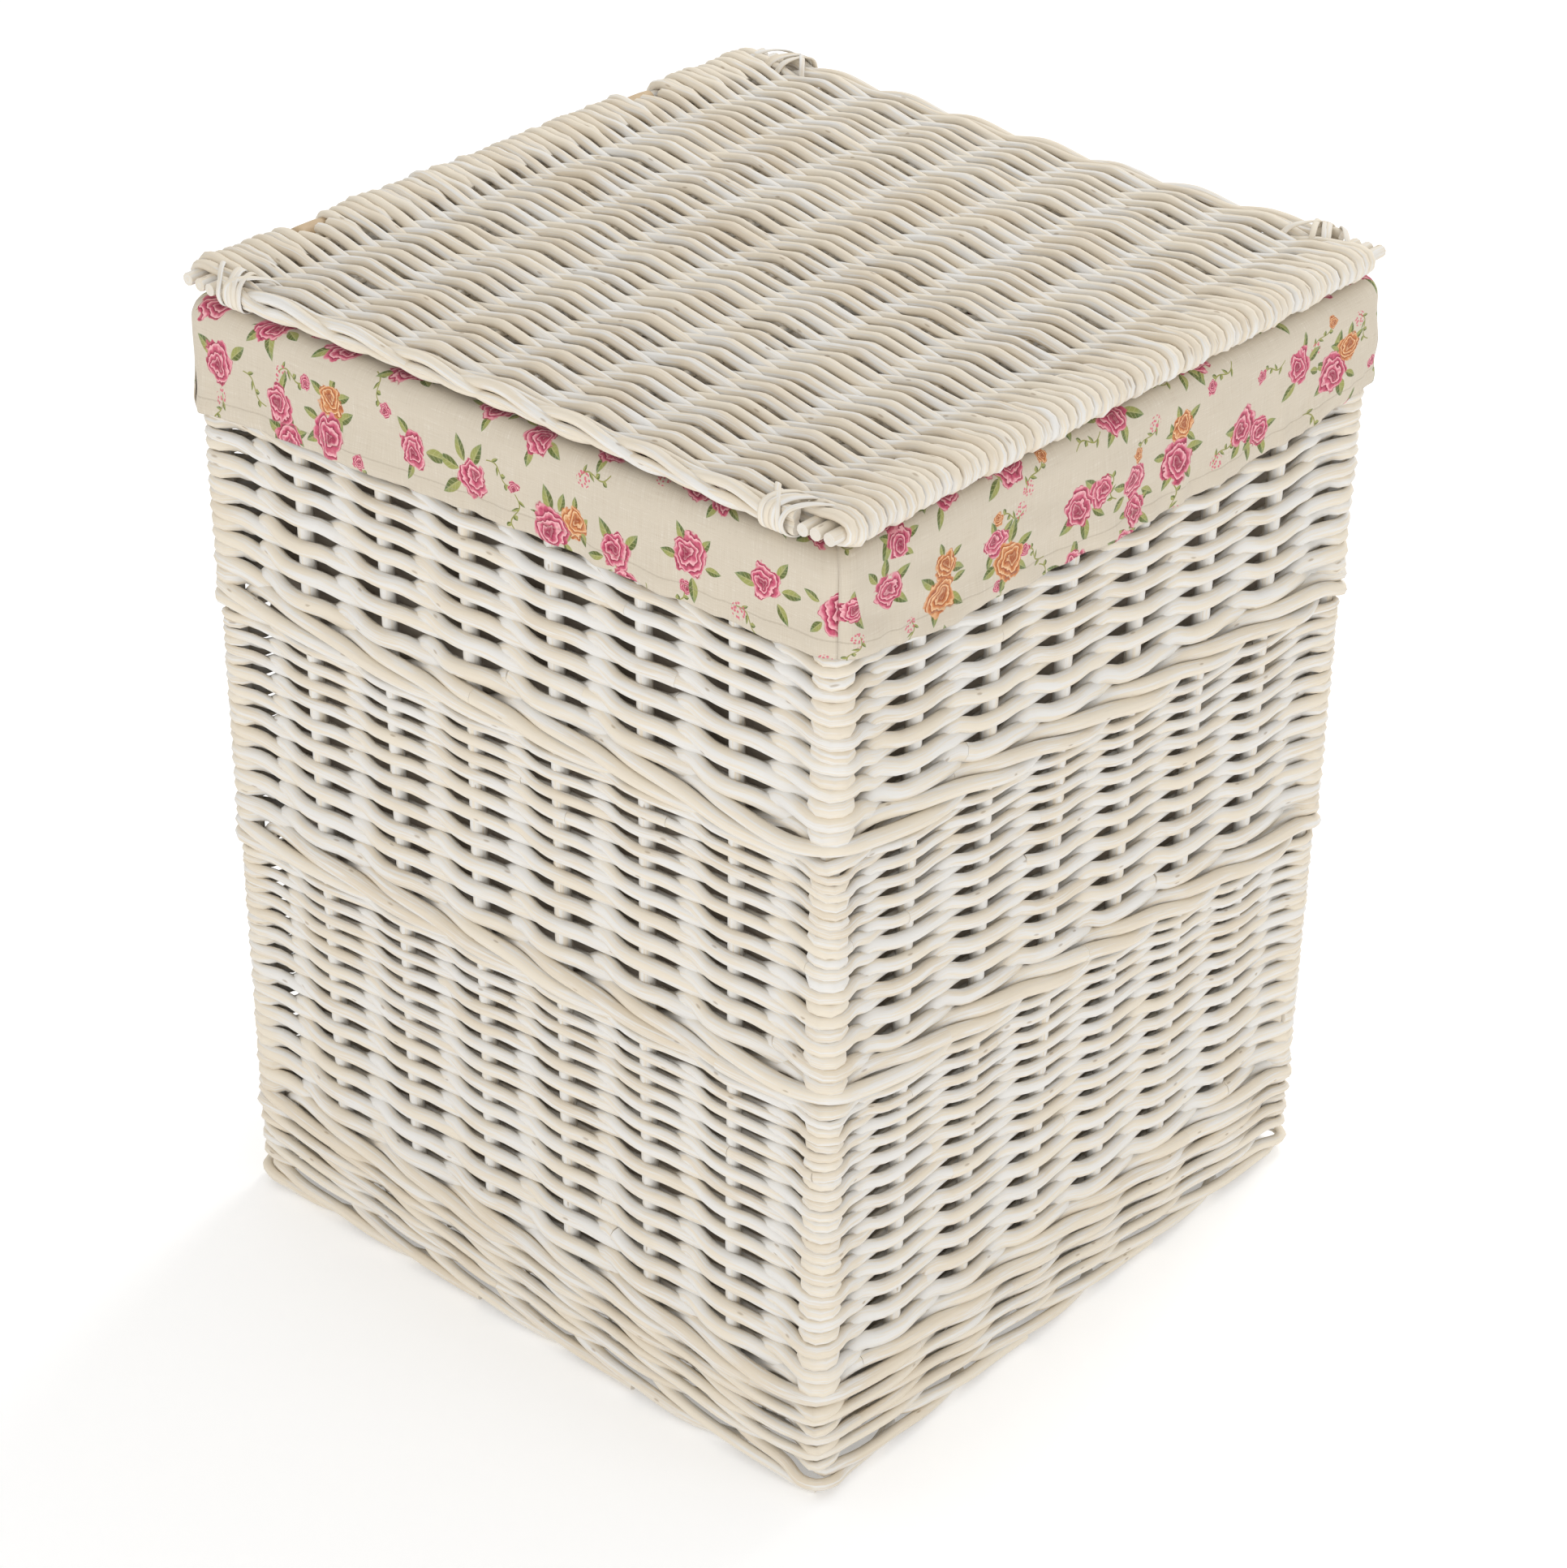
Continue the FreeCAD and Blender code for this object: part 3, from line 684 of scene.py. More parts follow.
class BASKET_OT_lid_sticks(bpy.types.Operator):
    """Makes the sticks across the lid, with their cut ends"""

    bl_idname = "basket.lid_sticks"
    bl_label = "Lid sticks"

    def execute(self, context):
        """Makes one piece for each of the CAD nodes."""
        sizes = context.scene.basket_sizes
        rng = np.random.default_rng(12)
        edge = sizes.lid_edge
        inner = edge - 0.0104
        rows = {
            "lid_cross_sticks": (CROSS_PLACES, CROSS_REACH),
            "lid_front_sticks": ([-edge, -edge + BUNDLE_PITCH, -edge + 2 * BUNDLE_PITCH], BUNDLE_REACH),
            "lid_hinge_stick": ([edge], BUNDLE_REACH),
            "lid_back_sticks": ([inner, inner - BUNDLE_PITCH], BUNDLE_REACH),
        }
        for node, (places, reach) in rows.items():
            parts = MeshParts()
            for place in places:
                left = -reach + rng.uniform(-0.0008, 0.0012)
                right = reach - rng.uniform(-0.0008, 0.0012)
                across = np.linspace(left, right, STICK_POINTS)
                drift = 0.0 if node == "lid_hinge_stick" else 0.0005
                path = np.column_stack([
                    across + lid_bow(across, place),
                    place + drift * slow_noise(rng, STICK_POINTS, STICK_GAP, 0.1),
                    sizes.lid_middle + drift * slow_noise(rng, STICK_POINTS, STICK_GAP, 0.1)])
                slim = 0.66 if node == "lid_cross_sticks" else 1.0
                ends = np.clip((np.abs(across) - 0.206) / 0.008, 0, 1)
                radius = sizes.lid_stick * rng.uniform(0.95, 1.0) * (slim + (1 - slim) * 0.9 * ends)
                add_rod(parts, path, radius, UP, rng, 10, wash=0.5)
            parts.build(f"{node}_rods", material("Willow"), "lid", "willow_rods", [node])
        return {"FINISHED"}


# The four rods of a side edge: two that wind round the sticks' ends, one above and one below
EDGE_RODS = (0.0031, 0.0029, 0.0023, 0.0021)
EDGE_STEP = 0.0045
EDGE_OUT = 0.2182
# The turns of a binding, of which the last is looser than the others
BINDING_TURNS = 5
BINDING_SLOPES = (0.35, 0.62, 0.62, -0.75, 1.05)
SKEIN_WIDTH = 0.0034
LOOSE_WIDTH = 0.0030
SKEIN_THICKNESS = 0.0011


class BASKET_OT_lid_edges(bpy.types.Operator):
    """Makes the twined rods and the skein bindings at the lid's two side edges"""

    bl_idname = "basket.lid_edges"
    bl_label = "Lid edges"

    def execute(self, context):
        """Makes one piece for each edge's rods and one for each binding."""
        sizes = context.scene.basket_sizes
        rng = np.random.default_rng(13)
        for side, sign in (("left", -1), ("right", 1)):
            parts = MeshParts()
            for strand, radius in enumerate(EDGE_RODS):
                knots = self.edge_knots(strand, sign, sizes.lid_middle, rng)
                path = smooth_path(knots, EDGE_STEP)
                path[:, 0] += lid_bow(path[:, 0], path[:, 1])
                thick = radius * (1 + 0.08 * slow_noise(rng, len(path), EDGE_STEP, 0.07))
                rise = np.abs(path[:, 2] - sizes.lid_middle) / 0.005
                add_rod(parts, path, thick, (sign, 0, 0.001), rng, 9, wash=np.clip(0.45 - 0.15 * rise, 0.1, 1))
            parts.build(f"lid_{side}_rods", material("Willow"), "lid", "willow_rods", [f"lid_{side}_edge_rods"])
            for end, way in (("front", -1), ("back", 1)):
                parts = MeshParts()
                for turn in range(BINDING_TURNS):
                    self.add_binding(parts, turn, sign, way, sizes.lid_middle, rng)
                name = f"lid_{end}_{side}_binding"
                parts.build(f"{name}_skeins", material("Willow skein"), "lid", "willow_skein", [name])
        return {"FINISHED"}

    def edge_knots(self, strand, sign, middle, rng):
        """Points along one edge rod, above and below the ends of the cross sticks by turns."""
        knots = []
        for half_step in range(-7, 8):
            along = 0.025 * half_step
            if strand > 1:
                rise = (0.0026 if strand == 2 else -0.0024) + 0.0010 * (-1) ** half_step
                out = 0.2150 if strand == 2 else 0.2196
            elif half_step % 2 == 0:
                rise = 0.0040 * (1 if (half_step // 2 + strand) % 2 == 0 else -1)
                out = EDGE_OUT
            else:
                rise = 0.0
                out = EDGE_OUT + (0.0012 if ((half_step + 1) // 2 + strand) % 2 == 0 else -0.0018)
            knots.append((sign * (out + rng.uniform(-1, 1) * 0.0004), along, middle + rise))
        for way in (-1, 1):
            rise = (0.0042, -0.0042, 0.0022, -0.0015)[strand]
            tail = [(sign * 0.2184, way * 0.1865, middle + rise), (sign * 0.2180, way * 0.1925, middle + rise * 0.9)]
            knots = tail[::-1] + knots if way < 0 else knots + tail
        return knots

    def add_binding(self, parts, turn, sign, way, middle, rng):
        """One turn of a skein, from under the edge up round the outside and slanting in over the top."""
        loose = turn == BINDING_TURNS - 1
        shift = 0.0085 if loose else (turn - 1.5) * SKEIN_WIDTH
        reach = 0.0015 if loose else 0.0
        slope = BINDING_SLOPES[turn]
        section = [
            (-0.0100, -0.0064), (-0.0020, -0.0086), (0.0034, -0.0062), (0.0052 + reach, 0.0),
            (0.0036, 0.0062), (-0.0014, 0.0086), (-0.0080, 0.0086), (-0.0140, 0.0064), (-0.0180, 0.0012)]
        knots = []
        for out, rise in section:
            inward = 0.0052 - out
            along = way * (0.1800 + slope * inward * (1 if rise > 0 else 0.35)) + way * shift * (1 - 18 * inward)
            knots.append((sign * (0.2178 + out) + rng.uniform(-1, 1) * 0.0002, along, middle + rise))
        path = smooth_path(knots, 0.0016)
        width = LOOSE_WIDTH if loose else SKEIN_WIDTH
        outward = unit(path - [sign * 0.2100, 0, middle] * np.array([1, 0, 1]) - path * [0, 1, 0])
        width = width * rng.uniform(0.92, 1.05)
        add_strip(parts, path, width, SKEIN_THICKNESS, outward, rng, wash=0.40 + 0.25 * loose)


# The straps: radius of the fold round the stick, thickness, and the heights where the two layers end and meet
STRAP_RING = 0.00445
STRAP_THICKNESS = 0.0013
STRAP_LOW = 0.5490
STRAP_MEET = 0.5600


class BASKET_OT_hinges(bpy.types.Operator):
    """Makes the two hinge straps"""

    bl_idname = "basket.hinges"
    bl_label = "Hinge straps"

    def execute(self, context):
        """Makes one piece for each strap, folded round the lid's outermost back stick."""
        sizes = context.scene.basket_sizes
        rng = np.random.default_rng(14)
        for side in ("left", "right"):
            low, high = (Vector(corner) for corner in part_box(f"{side}_hinge_loop"))
            middle = (low.x + high.x) / 2
            parts = MeshParts()
            edge = sizes.lid_edge
            knots = [(middle, edge - 0.0009, STRAP_LOW), (middle, edge - 0.0010, STRAP_MEET)]
            for angle in range(-125, -415, -29):
                swing = math.radians(angle)
                knots.append((
                    middle, edge + STRAP_RING * math.cos(swing), sizes.lid_middle + STRAP_RING * math.sin(swing)))
            knots += [(middle, edge + 0.0010, STRAP_MEET), (middle, edge + 0.0009, STRAP_LOW)]
            path = smooth_path(knots, 0.0012)
            outward = path - np.array([0, edge, 0])
            outward = unit(np.column_stack([
                np.zeros(len(path)), outward[:, 1], np.clip(path[:, 2] - sizes.lid_middle, -0.003, 1)]))
            add_strip(parts, path, high.x - low.x, STRAP_THICKNESS, outward, rng)
            parts.build(f"hinge_strap_{side}", material("Strap"), "basket", "strap", [f"{side}_hinge_loop"])
        return {"FINISHED"}


# Lining

# Height of each side's hem at nine places from its left end to its right end
HEMS = (
    (0.5090, 0.4985, 0.4972, 0.4950, 0.4925, 0.4918, 0.4930, 0.4950, 0.5000),
    (0.5000, 0.4955, 0.4975, 0.4990, 0.4962, 0.4950, 0.4972, 0.4980, 0.4965),
    (0.4965, 0.5000, 0.5012, 0.4985, 0.4970, 0.4995, 0.5015, 0.4990, 0.4960),
    (0.4960, 0.5010, 0.5025, 0.5040, 0.5075, 0.5085, 0.5065, 0.5070, 0.5090),
)
# Half the length of one side of the cuff
CUFF_SIDE = 0.2235
CLOTH_THICKNESS = 0.00055
PANEL_COLUMNS = 170
SKIRT_ROWS = 34
# How many waves make up a field of soft values
WAVES = 14
# Normals and heights up the inside, over the rim and down to where the skirt starts
PROFILE = (
    (-0.0110, 0.0350), (-0.0112, 0.2000), (-0.0112, 0.4000), (-0.0112, 0.5440), (-0.0098, 0.5545), (-0.0052, 0.5588),
    (0.0008, 0.5596), (0.0052, 0.5588), (0.0088, 0.5562), (0.0108, 0.5522), (0.0118, 0.5470))
# How strongly the elastic pulls folds into each side's skirt
PULLS = (1.35, 0.9, 0.8, 0.55)


def lining_profile():
    """(normal, height) points from the floor up the inside and over the border to the outside of the rim."""
    rough = smooth_path(np.array([(normal, height, 0) for normal, height in PROFILE]), 0.0012)[:, :2]
    far = run(rough)
    tall = far[np.argmin(np.abs(rough[:, 1] - 0.5440))]
    keep = np.concatenate([np.linspace(0, tall, 110, endpoint=False), np.arange(tall, far[-1], 0.0017)])
    return np.column_stack([np.interp(keep, far, rough[:, 0]), np.interp(keep, far, rough[:, 1])])


def place_on_side(side, share, normal, height):
    """World points of one side of a rounded square ring.

    share runs from -1 to 1, from the middle of one corner to the middle of the next.
    """
    half = level_half(height) + normal
    turn = 0.005 + 0.008 * (normal + 0.0112) / 0.0237
    straight = half - turn
    reach = np.abs(share) * (straight + turn * math.pi / 4)
    angle = np.clip((reach - straight) / turn, 0, math.pi / 4)
    along = np.sign(share) * (np.minimum(reach, straight) + turn * np.sin(angle))
    off = straight + turn * np.cos(angle)
    across, up = ((along, -off), (off, along), (-along, off), (-off, -along))[side]
    return np.stack([across, up, height], axis=-1)


def smooth_field(rng, rows, columns, row_waves, column_waves):
    """Soft random values of about -1 to 1 over a grid, with about this many waves each way."""
    across, down = np.meshgrid(np.linspace(0, 1, columns), np.linspace(0, 1, rows))
    total = np.zeros((rows, columns))
    for _ in range(WAVES):
        fast = column_waves * rng.uniform(0.35, 1.3)
        slant = row_waves * rng.uniform(-1, 1)
        total += np.sin(2 * math.pi * (fast * across + slant * down + rng.uniform()))
    return total / math.sqrt(WAVES)


def cloth_mesh(name, grid, flat, hem):
    """A cloth sheet of this grid of points, with its flat coordinates and the height above its hem."""
    rows, columns = grid.shape[:2]
    index = np.arange(rows * columns).reshape(rows, columns)
    faces = np.stack([index[:-1, :-1], index[1:, :-1], index[1:, 1:], index[:-1, 1:]], axis=-1).reshape(-1, 4)
    mesh = bpy.data.meshes.new(name)
    mesh.from_pydata(grid.reshape(-1, 3).tolist(), [], faces.tolist())
    layer = mesh.uv_layers.new(name="Grain")
    layer.data.foreach_set("uv", flat.reshape(-1, 2)[faces.reshape(-1)].astype(np.float32).ravel())
    mesh.attributes.new("hem", "FLOAT", "POINT").data.foreach_set("value", hem.astype(np.float32).ravel())
    mesh.polygons.foreach_set("use_smooth", [True] * len(faces))
    mesh.materials.append(material("Rose linen"))
    # The back face, made by the solidify below, gets the plain underside, darkened with painted shade where it shows
    # through the weave.
    mesh.materials.append(material("Linen underside with painted shade"))
    mesh.update()
    cloth = bpy.data.objects.new(name, mesh)
    bpy.context.scene.collection.objects.link(cloth)
    solid = cloth.modifiers.new("thickness", "SOLIDIFY")
    solid.thickness = CLOTH_THICKNESS
    solid.offset = -1
    solid.material_offset = 1
    solid.material_offset_rim = 0
    return cloth


class BASKET_OT_lining(bpy.types.Operator):
    """Makes the cloth lining, one panel for each side and one for the floor"""

    bl_idname = "basket.lining"
    bl_label = "Lining"

    def execute(self, context):
        """Builds the panels from their curved sheets, folded over the rim."""
        rng = np.random.default_rng(21)
        for side, name in enumerate(SIDES):
            panel = self.panel(side, name, rng)
            nodes = [f"lining_{name}"] + (["lining_elastic"] if side == 0 else [])
            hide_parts(*nodes)
            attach(panel, "basket")
        floor = self.floor(rng)
        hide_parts("lining_floor")
        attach(floor, "basket")
        return {"FINISHED"}

    def panel(self, side, name, rng):
        """One side: up the inside, over the rim and down to the gathered hem."""
        share = np.linspace(-1, 1, PANEL_COLUMNS)
        inside = lining_profile()
        drop = np.linspace(0, 1, SKIRT_ROWS)[1:]
        rim = inside[-1]
        rows = len(inside) + len(drop)
        columns = len(share)
        hem = np.interp(share, np.linspace(-1, 1, 9), HEMS[side])
        soft = np.convolve(np.pad(hem, 12, mode="edge"), np.ones(25) / 25, mode="valid")
        hem = soft + (hem[0] - soft[0]) * np.clip(-share * 8 - 7, 0, 1) + (hem[-1] - soft[-1]) * np.clip(
            share * 8 - 7, 0, 1)
        normal = np.empty((rows, columns))
        height = np.empty((rows, columns))
        normal[:len(inside)] = inside[:, :1]
        height[:len(inside)] = inside[:, 1:]
        height[len(inside):] = rim[1] - drop[:, None] * (rim[1] - hem[None, :])
        below = height - hem[None, :]
        outside = np.zeros((rows, 1))
        outside[len(inside):, 0] = drop
        outer = np.arange(rows)[:, None] >= len(inside)
        level = rim[0] + 0.0003 * outside + 0.0006 * np.exp(-((below - 0.0045) / 0.0042) ** 2)
        normal = np.where(outer, level, normal)
        gathers = smooth_field(rng, rows, columns, 0.7, 24)
        sway = smooth_field(rng, rows, columns, 2.2, 7)
        tension = smooth_field(rng, rows, columns, 9.0, 5)
        corner = np.clip((1 - np.abs(share)) / 0.05, 0, 1)[None, :]
        pull = np.exp(-(below / 0.018) ** 2)
        cuff = 0.0006 + 0.0009 * pull * (0.5 + gathers) + 0.0008 * sway + PULLS[side] * 0.0008 * tension
        puff = 0.0
        if side < 2:
            end = (0.985, -0.985)[side]
            puff = 0.0016 * np.exp(-((below - 0.022) / 0.012) ** 2) * np.exp(-((share[None, :] - end) / 0.05) ** 2)
        over = np.clip((np.arange(rows)[:, None] - len(inside) + 4) / 14, 0, 1)
        normal = normal + over * (np.clip(cuff, -0.0003, 0.0034) * (0.35 + 0.65 * corner) + puff)
        slack = (0.5 + 0.5 * smooth_field(rng, rows, columns, 3.0, 4)) * 0.0009
        deep = np.clip((0.535 - height) / 0.06, 0, 1) * ~outer
        normal = normal - deep * slack * corner
        grid = place_on_side(side, np.broadcast_to(share, (rows, columns)), normal, height)
        down = run(grid[:, columns // 2])
        flat = np.stack([
            np.broadcast_to((2 * side + 1 + share) * CUFF_SIDE, (rows, columns)),
            np.broadcast_to(down[:, None], (rows, columns))], axis=-1)
        return cloth_mesh(f"lining_{name}_cloth", grid, flat, np.where(outer, below, 1.0))

    def floor(self, rng):
        """The bottom of the lining, lying on the woven base."""
        count = 90
        reach = level_half(0.034) - 0.0118
        across, down = np.meshgrid(np.linspace(-reach, reach, count), np.linspace(reach, -reach, count))
        middle = np.clip((reach - np.maximum(np.abs(across), np.abs(down))) / 0.03, 0, 1)
        height = 0.0352 + middle * 0.0006 * (1 + smooth_field(rng, count, count, 5, 5)) * 0.5
        grid = np.stack([across, down, height], axis=-1)
        return cloth_mesh("lining_floor_cloth", grid, grid[:, :, :2] + 3.0, np.ones((count, count)))


BASE_STICK = 0.0038
BASE_ROD = 0.00235
BASE_STICKS = 9
BASE_ROWS = 62
BASE_STEP = 0.006
RIM_ROD = 0.0046
RIM_MIDDLE = 0.5502


class BASKET_OT_base(bpy.types.Operator):
    """Weaves the base, and the border that the lining hides"""

    bl_idname = "basket.base"
    bl_label = "Base"

    def execute(self, context):
        """Makes one piece each of the base's sticks, its woven rods and the twisted border at the rim."""
        rng = np.random.default_rng(15)
        low, high = (Vector(corner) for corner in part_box("base_weave"))
        middle = (low.z + high.z) / 2
        stick_low, stick_high = (Vector(corner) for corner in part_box("base_sticks"))
        sticks = MeshParts()
        spread = np.linspace(stick_low.x + 0.004, stick_high.x - 0.004, BASE_STICKS)
        for place in spread:
            along = np.linspace(stick_low.y, stick_high.y, 40)
            path = np.column_stack([np.full(40, place), along, np.full(40, middle)])
            add_rod(sticks, path, BASE_STICK, UP, rng, 9, wash=0.45)
        sticks.build("base_stick_rods", material("Willow"), "basket", "willow_rods", ["base_sticks"])
        woven = MeshParts()
        lift = min(0.0052, (high.z - low.z) / 2 - 0.0021)
        for row in range(BASE_ROWS):
            place = low.y + 0.0035 + (high.y - low.y - 0.007) * row / (BASE_ROWS - 1)
            knots = [(low.x, place, middle)]
            for number, stick in enumerate(spread):
                sign = 1 if (number + row) % 2 == 0 else -1
                knots.append((stick, place, middle + sign * lift))
            knots.append((high.x, place, middle))
            path = smooth_path(np.array(knots), BASE_STEP)
            path[:, 1] += 0.0004 * slow_noise(rng, len(path), BASE_STEP, 0.05)
            add_rod(woven, path, BASE_ROD * rng.uniform(0.93, 1.05), (0, 1, 0), rng, 7, wash=0.5)
        woven.build("base_rods", material("Willow"), "basket", "willow_weave", ["base_weave"])
        rim = MeshParts()
        share = np.linspace(-1, 1, 150)
        for strand in range(3):
            sides = []
            for side in range(4):
                swing = (2 * side + share) * 2 * math.pi + strand * 2 * math.pi / 3
                sides.append(place_on_side(
                    side, share, 0.0038 * np.cos(swing), RIM_MIDDLE + 0.0034 * np.sin(swing))[:-1])
            add_rod(rim, np.concatenate(sides), RIM_ROD, UP, rng, 9, wash=0.5)
        rim.build("rim_rods", material("Willow"), "basket", "willow_rods", ["top_border"])
        return {"FINISHED"}


# Materials


def material(name):
    """The material with this name."""
    return bpy.data.materials[name]


class Graph:
    """Short ways to add and link shader nodes in one tree."""

    def __init__(self, tree):
        self.tree = tree

    def add(self, kind, **values):
        """A node of this kind. Values that name a property are set on it, and the others are inputs."""
        node = self.tree.nodes.new(kind)
        for key, value in values.items():
            if hasattr(node, key) and key not in node.inputs:
                setattr(node, key, value)
                continue
            self.feed(node.inputs[key], value)
        return node

    def feed(self, socket, value):
        """Links a socket, or sets a plain value."""
        if isinstance(value, bpy.types.NodeSocket):
            self.tree.links.new(value, socket)
        elif isinstance(value, (tuple, list)) and socket.type == "RGBA":
            socket.default_value = tuple(value) + (1.0,) * (4 - len(value))
        else:
            socket.default_value = value

    def maths(self, operation, a, b=0.0, c=0.0, clamp=False):
        """A maths node's result."""
        node = self.tree.nodes.new("ShaderNodeMath")
        node.operation = operation
        node.use_clamp = clamp
        for socket, value in zip(node.inputs, (a, b, c)):
            self.feed(socket, value)
        return node.outputs[0]

    def plus(self, a, b):
        """a + b."""
        return self.maths("ADD", a, b)

    def minus(self, a, b):
        """a - b."""
        return self.maths("SUBTRACT", a, b)

    def times(self, a, b):
        """a * b."""
        return self.maths("MULTIPLY", a, b)

    def vector(self, operation, a, b=(0, 0, 0), scale=1.0):
        """A vector maths node's vector result."""
        node = self.tree.nodes.new("ShaderNodeVectorMath")
        node.operation = operation
        self.feed(node.inputs[0], a)
        self.feed(node.inputs[1], b)
        if operation == "SCALE":
            self.feed(node.inputs["Scale"], scale)
        return node.outputs[1] if operation in ("LENGTH", "DOT_PRODUCT", "DISTANCE") else node.outputs[0]

    def combine(self, x=0.0, y=0.0, z=0.0):
        """A vector from three values."""
        return self.add("ShaderNodeCombineXYZ", X=x, Y=y, Z=z).outputs[0]

    def separate(self, vector):
        """The three values of a vector."""
        return self.add("ShaderNodeSeparateXYZ", Vector=vector).outputs

    def noise(self, vector, scale=1.0, detail=2.0, roughness=0.5):
        """A noise texture's value, from 0 to 1."""
        node = self.add("ShaderNodeTexNoise", Vector=vector, Scale=scale, Detail=detail, Roughness=roughness)
        return node.outputs["Fac"]

    def ramp(self, value, low, high, start=0.0, stop=1.0):
        """The value mapped smoothly from one range to another and clamped."""
        node = self.add("ShaderNodeMapRange", Value=value)
        node.interpolation_type = "SMOOTHSTEP"
        for name, number in (("From Min", low), ("From Max", high), ("To Min", start), ("To Max", stop)):
            self.feed(node.inputs[name], number)
        return node.outputs[0]

    def mix(self, factor, a, b):
        """A mix of two colours."""
        node = self.tree.nodes.new("ShaderNodeMix")
        node.data_type = "RGBA"
        self.feed(node.inputs[0], factor)
        self.feed(node.inputs[6], a)
        self.feed(node.inputs[7], b)
        return node.outputs[2]

    def group(self, name, **values):
        """One of the node groups below, with these inputs."""
        node = self.tree.nodes.new("ShaderNodeGroup")
        node.node_tree = bpy.data.node_groups[name]
        for key, value in values.items():
            self.feed(node.inputs[key.replace("_", " ")], value)
        return node.outputs


def new_group(name, inputs, outputs):
    """An empty node group and its Graph. inputs and outputs are (name, socket type[, default]) tuples."""
    tree = bpy.data.node_groups.new(name, "ShaderNodeTree")
    for entry in inputs:
        socket = tree.interface.new_socket(name=entry[0], in_out="INPUT", socket_type=entry[1])
        if len(entry) > 2:
            socket.default_value = entry[2]
    for entry in outputs:
        tree.interface.new_socket(name=entry[0], in_out="OUTPUT", socket_type=entry[1])
    graph = Graph(tree)
    start = tree.nodes.new("NodeGroupInput").outputs
    end = tree.nodes.new("NodeGroupOutput").inputs
    return graph, start, end


def make_grain_group():
    """Willow: long streaks, small nicks and knots, and wash that gathers where the rod isn't rubbed."""
    graph, start, end = new_group(
        "Willow grain",
        [("Grain", "NodeSocketVector"), ("Rod", "NodeSocketFloat", 0.5), ("Wash", "NodeSocketFloat", 0.5),
         ("Wood", "NodeSocketColor", (0.7, 0.6, 0.45, 1)), ("Streak", "NodeSocketColor", (0.5, 0.4, 0.27, 1)),
         ("Paint", "NodeSocketColor", (0.8, 0.8, 0.78, 1))],
        [("Color", "NodeSocketColor"), ("Roughness", "NodeSocketFloat"), ("Height", "NodeSocketFloat")])
    along, around, _ = graph.separate(start["Grain"])
    seed = graph.times(start["Rod"], 37.0)
    fine = graph.noise(graph.combine(
        graph.times(along, 42.0), graph.times(around, 1250.0), seed), 1.0, 3.0, 0.62)
    broad = graph.noise(graph.combine(
        graph.times(along, 22.0), graph.times(around, 420.0), seed), 1.0, 2.0, 0.5)
    slow = graph.noise(graph.combine(graph.times(along, 14.0), seed, 3.0), 1.0, 2.0, 0.5)
    tone = graph.maths("FRACT", graph.times(start["Rod"], 91.7))
    warm = graph.mix(
        graph.ramp(graph.plus(graph.times(broad, 0.8), graph.times(tone, 0.35)),
                   0.35, 0.95, 0.0, 0.55),
        start["Wood"], start["Streak"])
    warm = graph.mix(graph.ramp(fine, 0.58, 0.80, 0.0, 0.34), warm, start["Streak"])
    cover = graph.plus(start["Wash"], graph.times(graph.minus(slow, 0.5), 1.1))
    cover = graph.plus(cover, graph.times(graph.minus(broad, 0.5), 1.9))
    cover = graph.plus(cover, graph.times(graph.minus(fine, 0.5), 1.7))
    cover = graph.ramp(cover, 0.26, 0.84, 0.05, 0.95)
    washed = graph.mix(cover, warm, start["Paint"])
    specks = graph.add(
        "ShaderNodeTexVoronoi", voronoi_dimensions="2D", Scale=1.0,
        Vector=graph.combine(graph.times(along, 62.0), graph.times(around, 210.0)))
    chosen = graph.maths("GREATER_THAN", graph.separate(specks.outputs["Color"])[0], 0.93)
    knot = graph.times(graph.ramp(specks.outputs["Distance"], 0.05, 0.16, 1.0, 0.0), chosen)
    coloured = graph.mix(graph.times(knot, 0.55), washed, (0.33, 0.24, 0.15))
    graph.feed(end["Color"], coloured)
    graph.feed(end["Roughness"], graph.ramp(cover, 0.0, 1.0, 0.66, 0.86))
    bumps = graph.plus(graph.times(fine, 0.6), graph.times(broad, 0.5))
    graph.feed(end["Height"], graph.minus(bumps, graph.times(knot, 0.5)))


def rod_inputs(graph):
    """The grain coordinates and the two values that rods carry."""
    grain = graph.add("ShaderNodeUVMap", uv_map="Grain").outputs[0]
    rod = graph.add("ShaderNodeAttribute", attribute_name="rod").outputs["Fac"]
    wash = graph.add("ShaderNodeAttribute", attribute_name="wash").outputs["Fac"]
    return grain, rod, wash


def new_material(name):
    """A material with a Principled surface, as (Graph, Principled node)."""
    made = bpy.data.materials.new(name)
    made.use_nodes = True
    graph = Graph(made.node_tree)
    return graph, made.node_tree.nodes["Principled BSDF"]


def make_willow_material(name, colours, wash_shift):
    """White-washed willow."""
    graph, surface = new_material(name)
    grain, rod, wash = rod_inputs(graph)
    out = graph.group(
        "Willow grain", Grain=grain, Rod=rod, Wash=graph.plus(wash, wash_shift),
        Wood=tuple(colours.willow), Streak=tuple(colours.willow_dark), Paint=tuple(colours.wash))
    graph.feed(surface.inputs["Base Color"], out["Color"])
    graph.feed(surface.inputs["Roughness"], out["Roughness"])
    bump = graph.add("ShaderNodeBump", Height=out["Height"], Strength=0.35, Distance=0.0005)
    graph.feed(surface.inputs["Normal"], bump.outputs[0])
    surface.inputs["Specular IOR Level"].default_value = 0.25


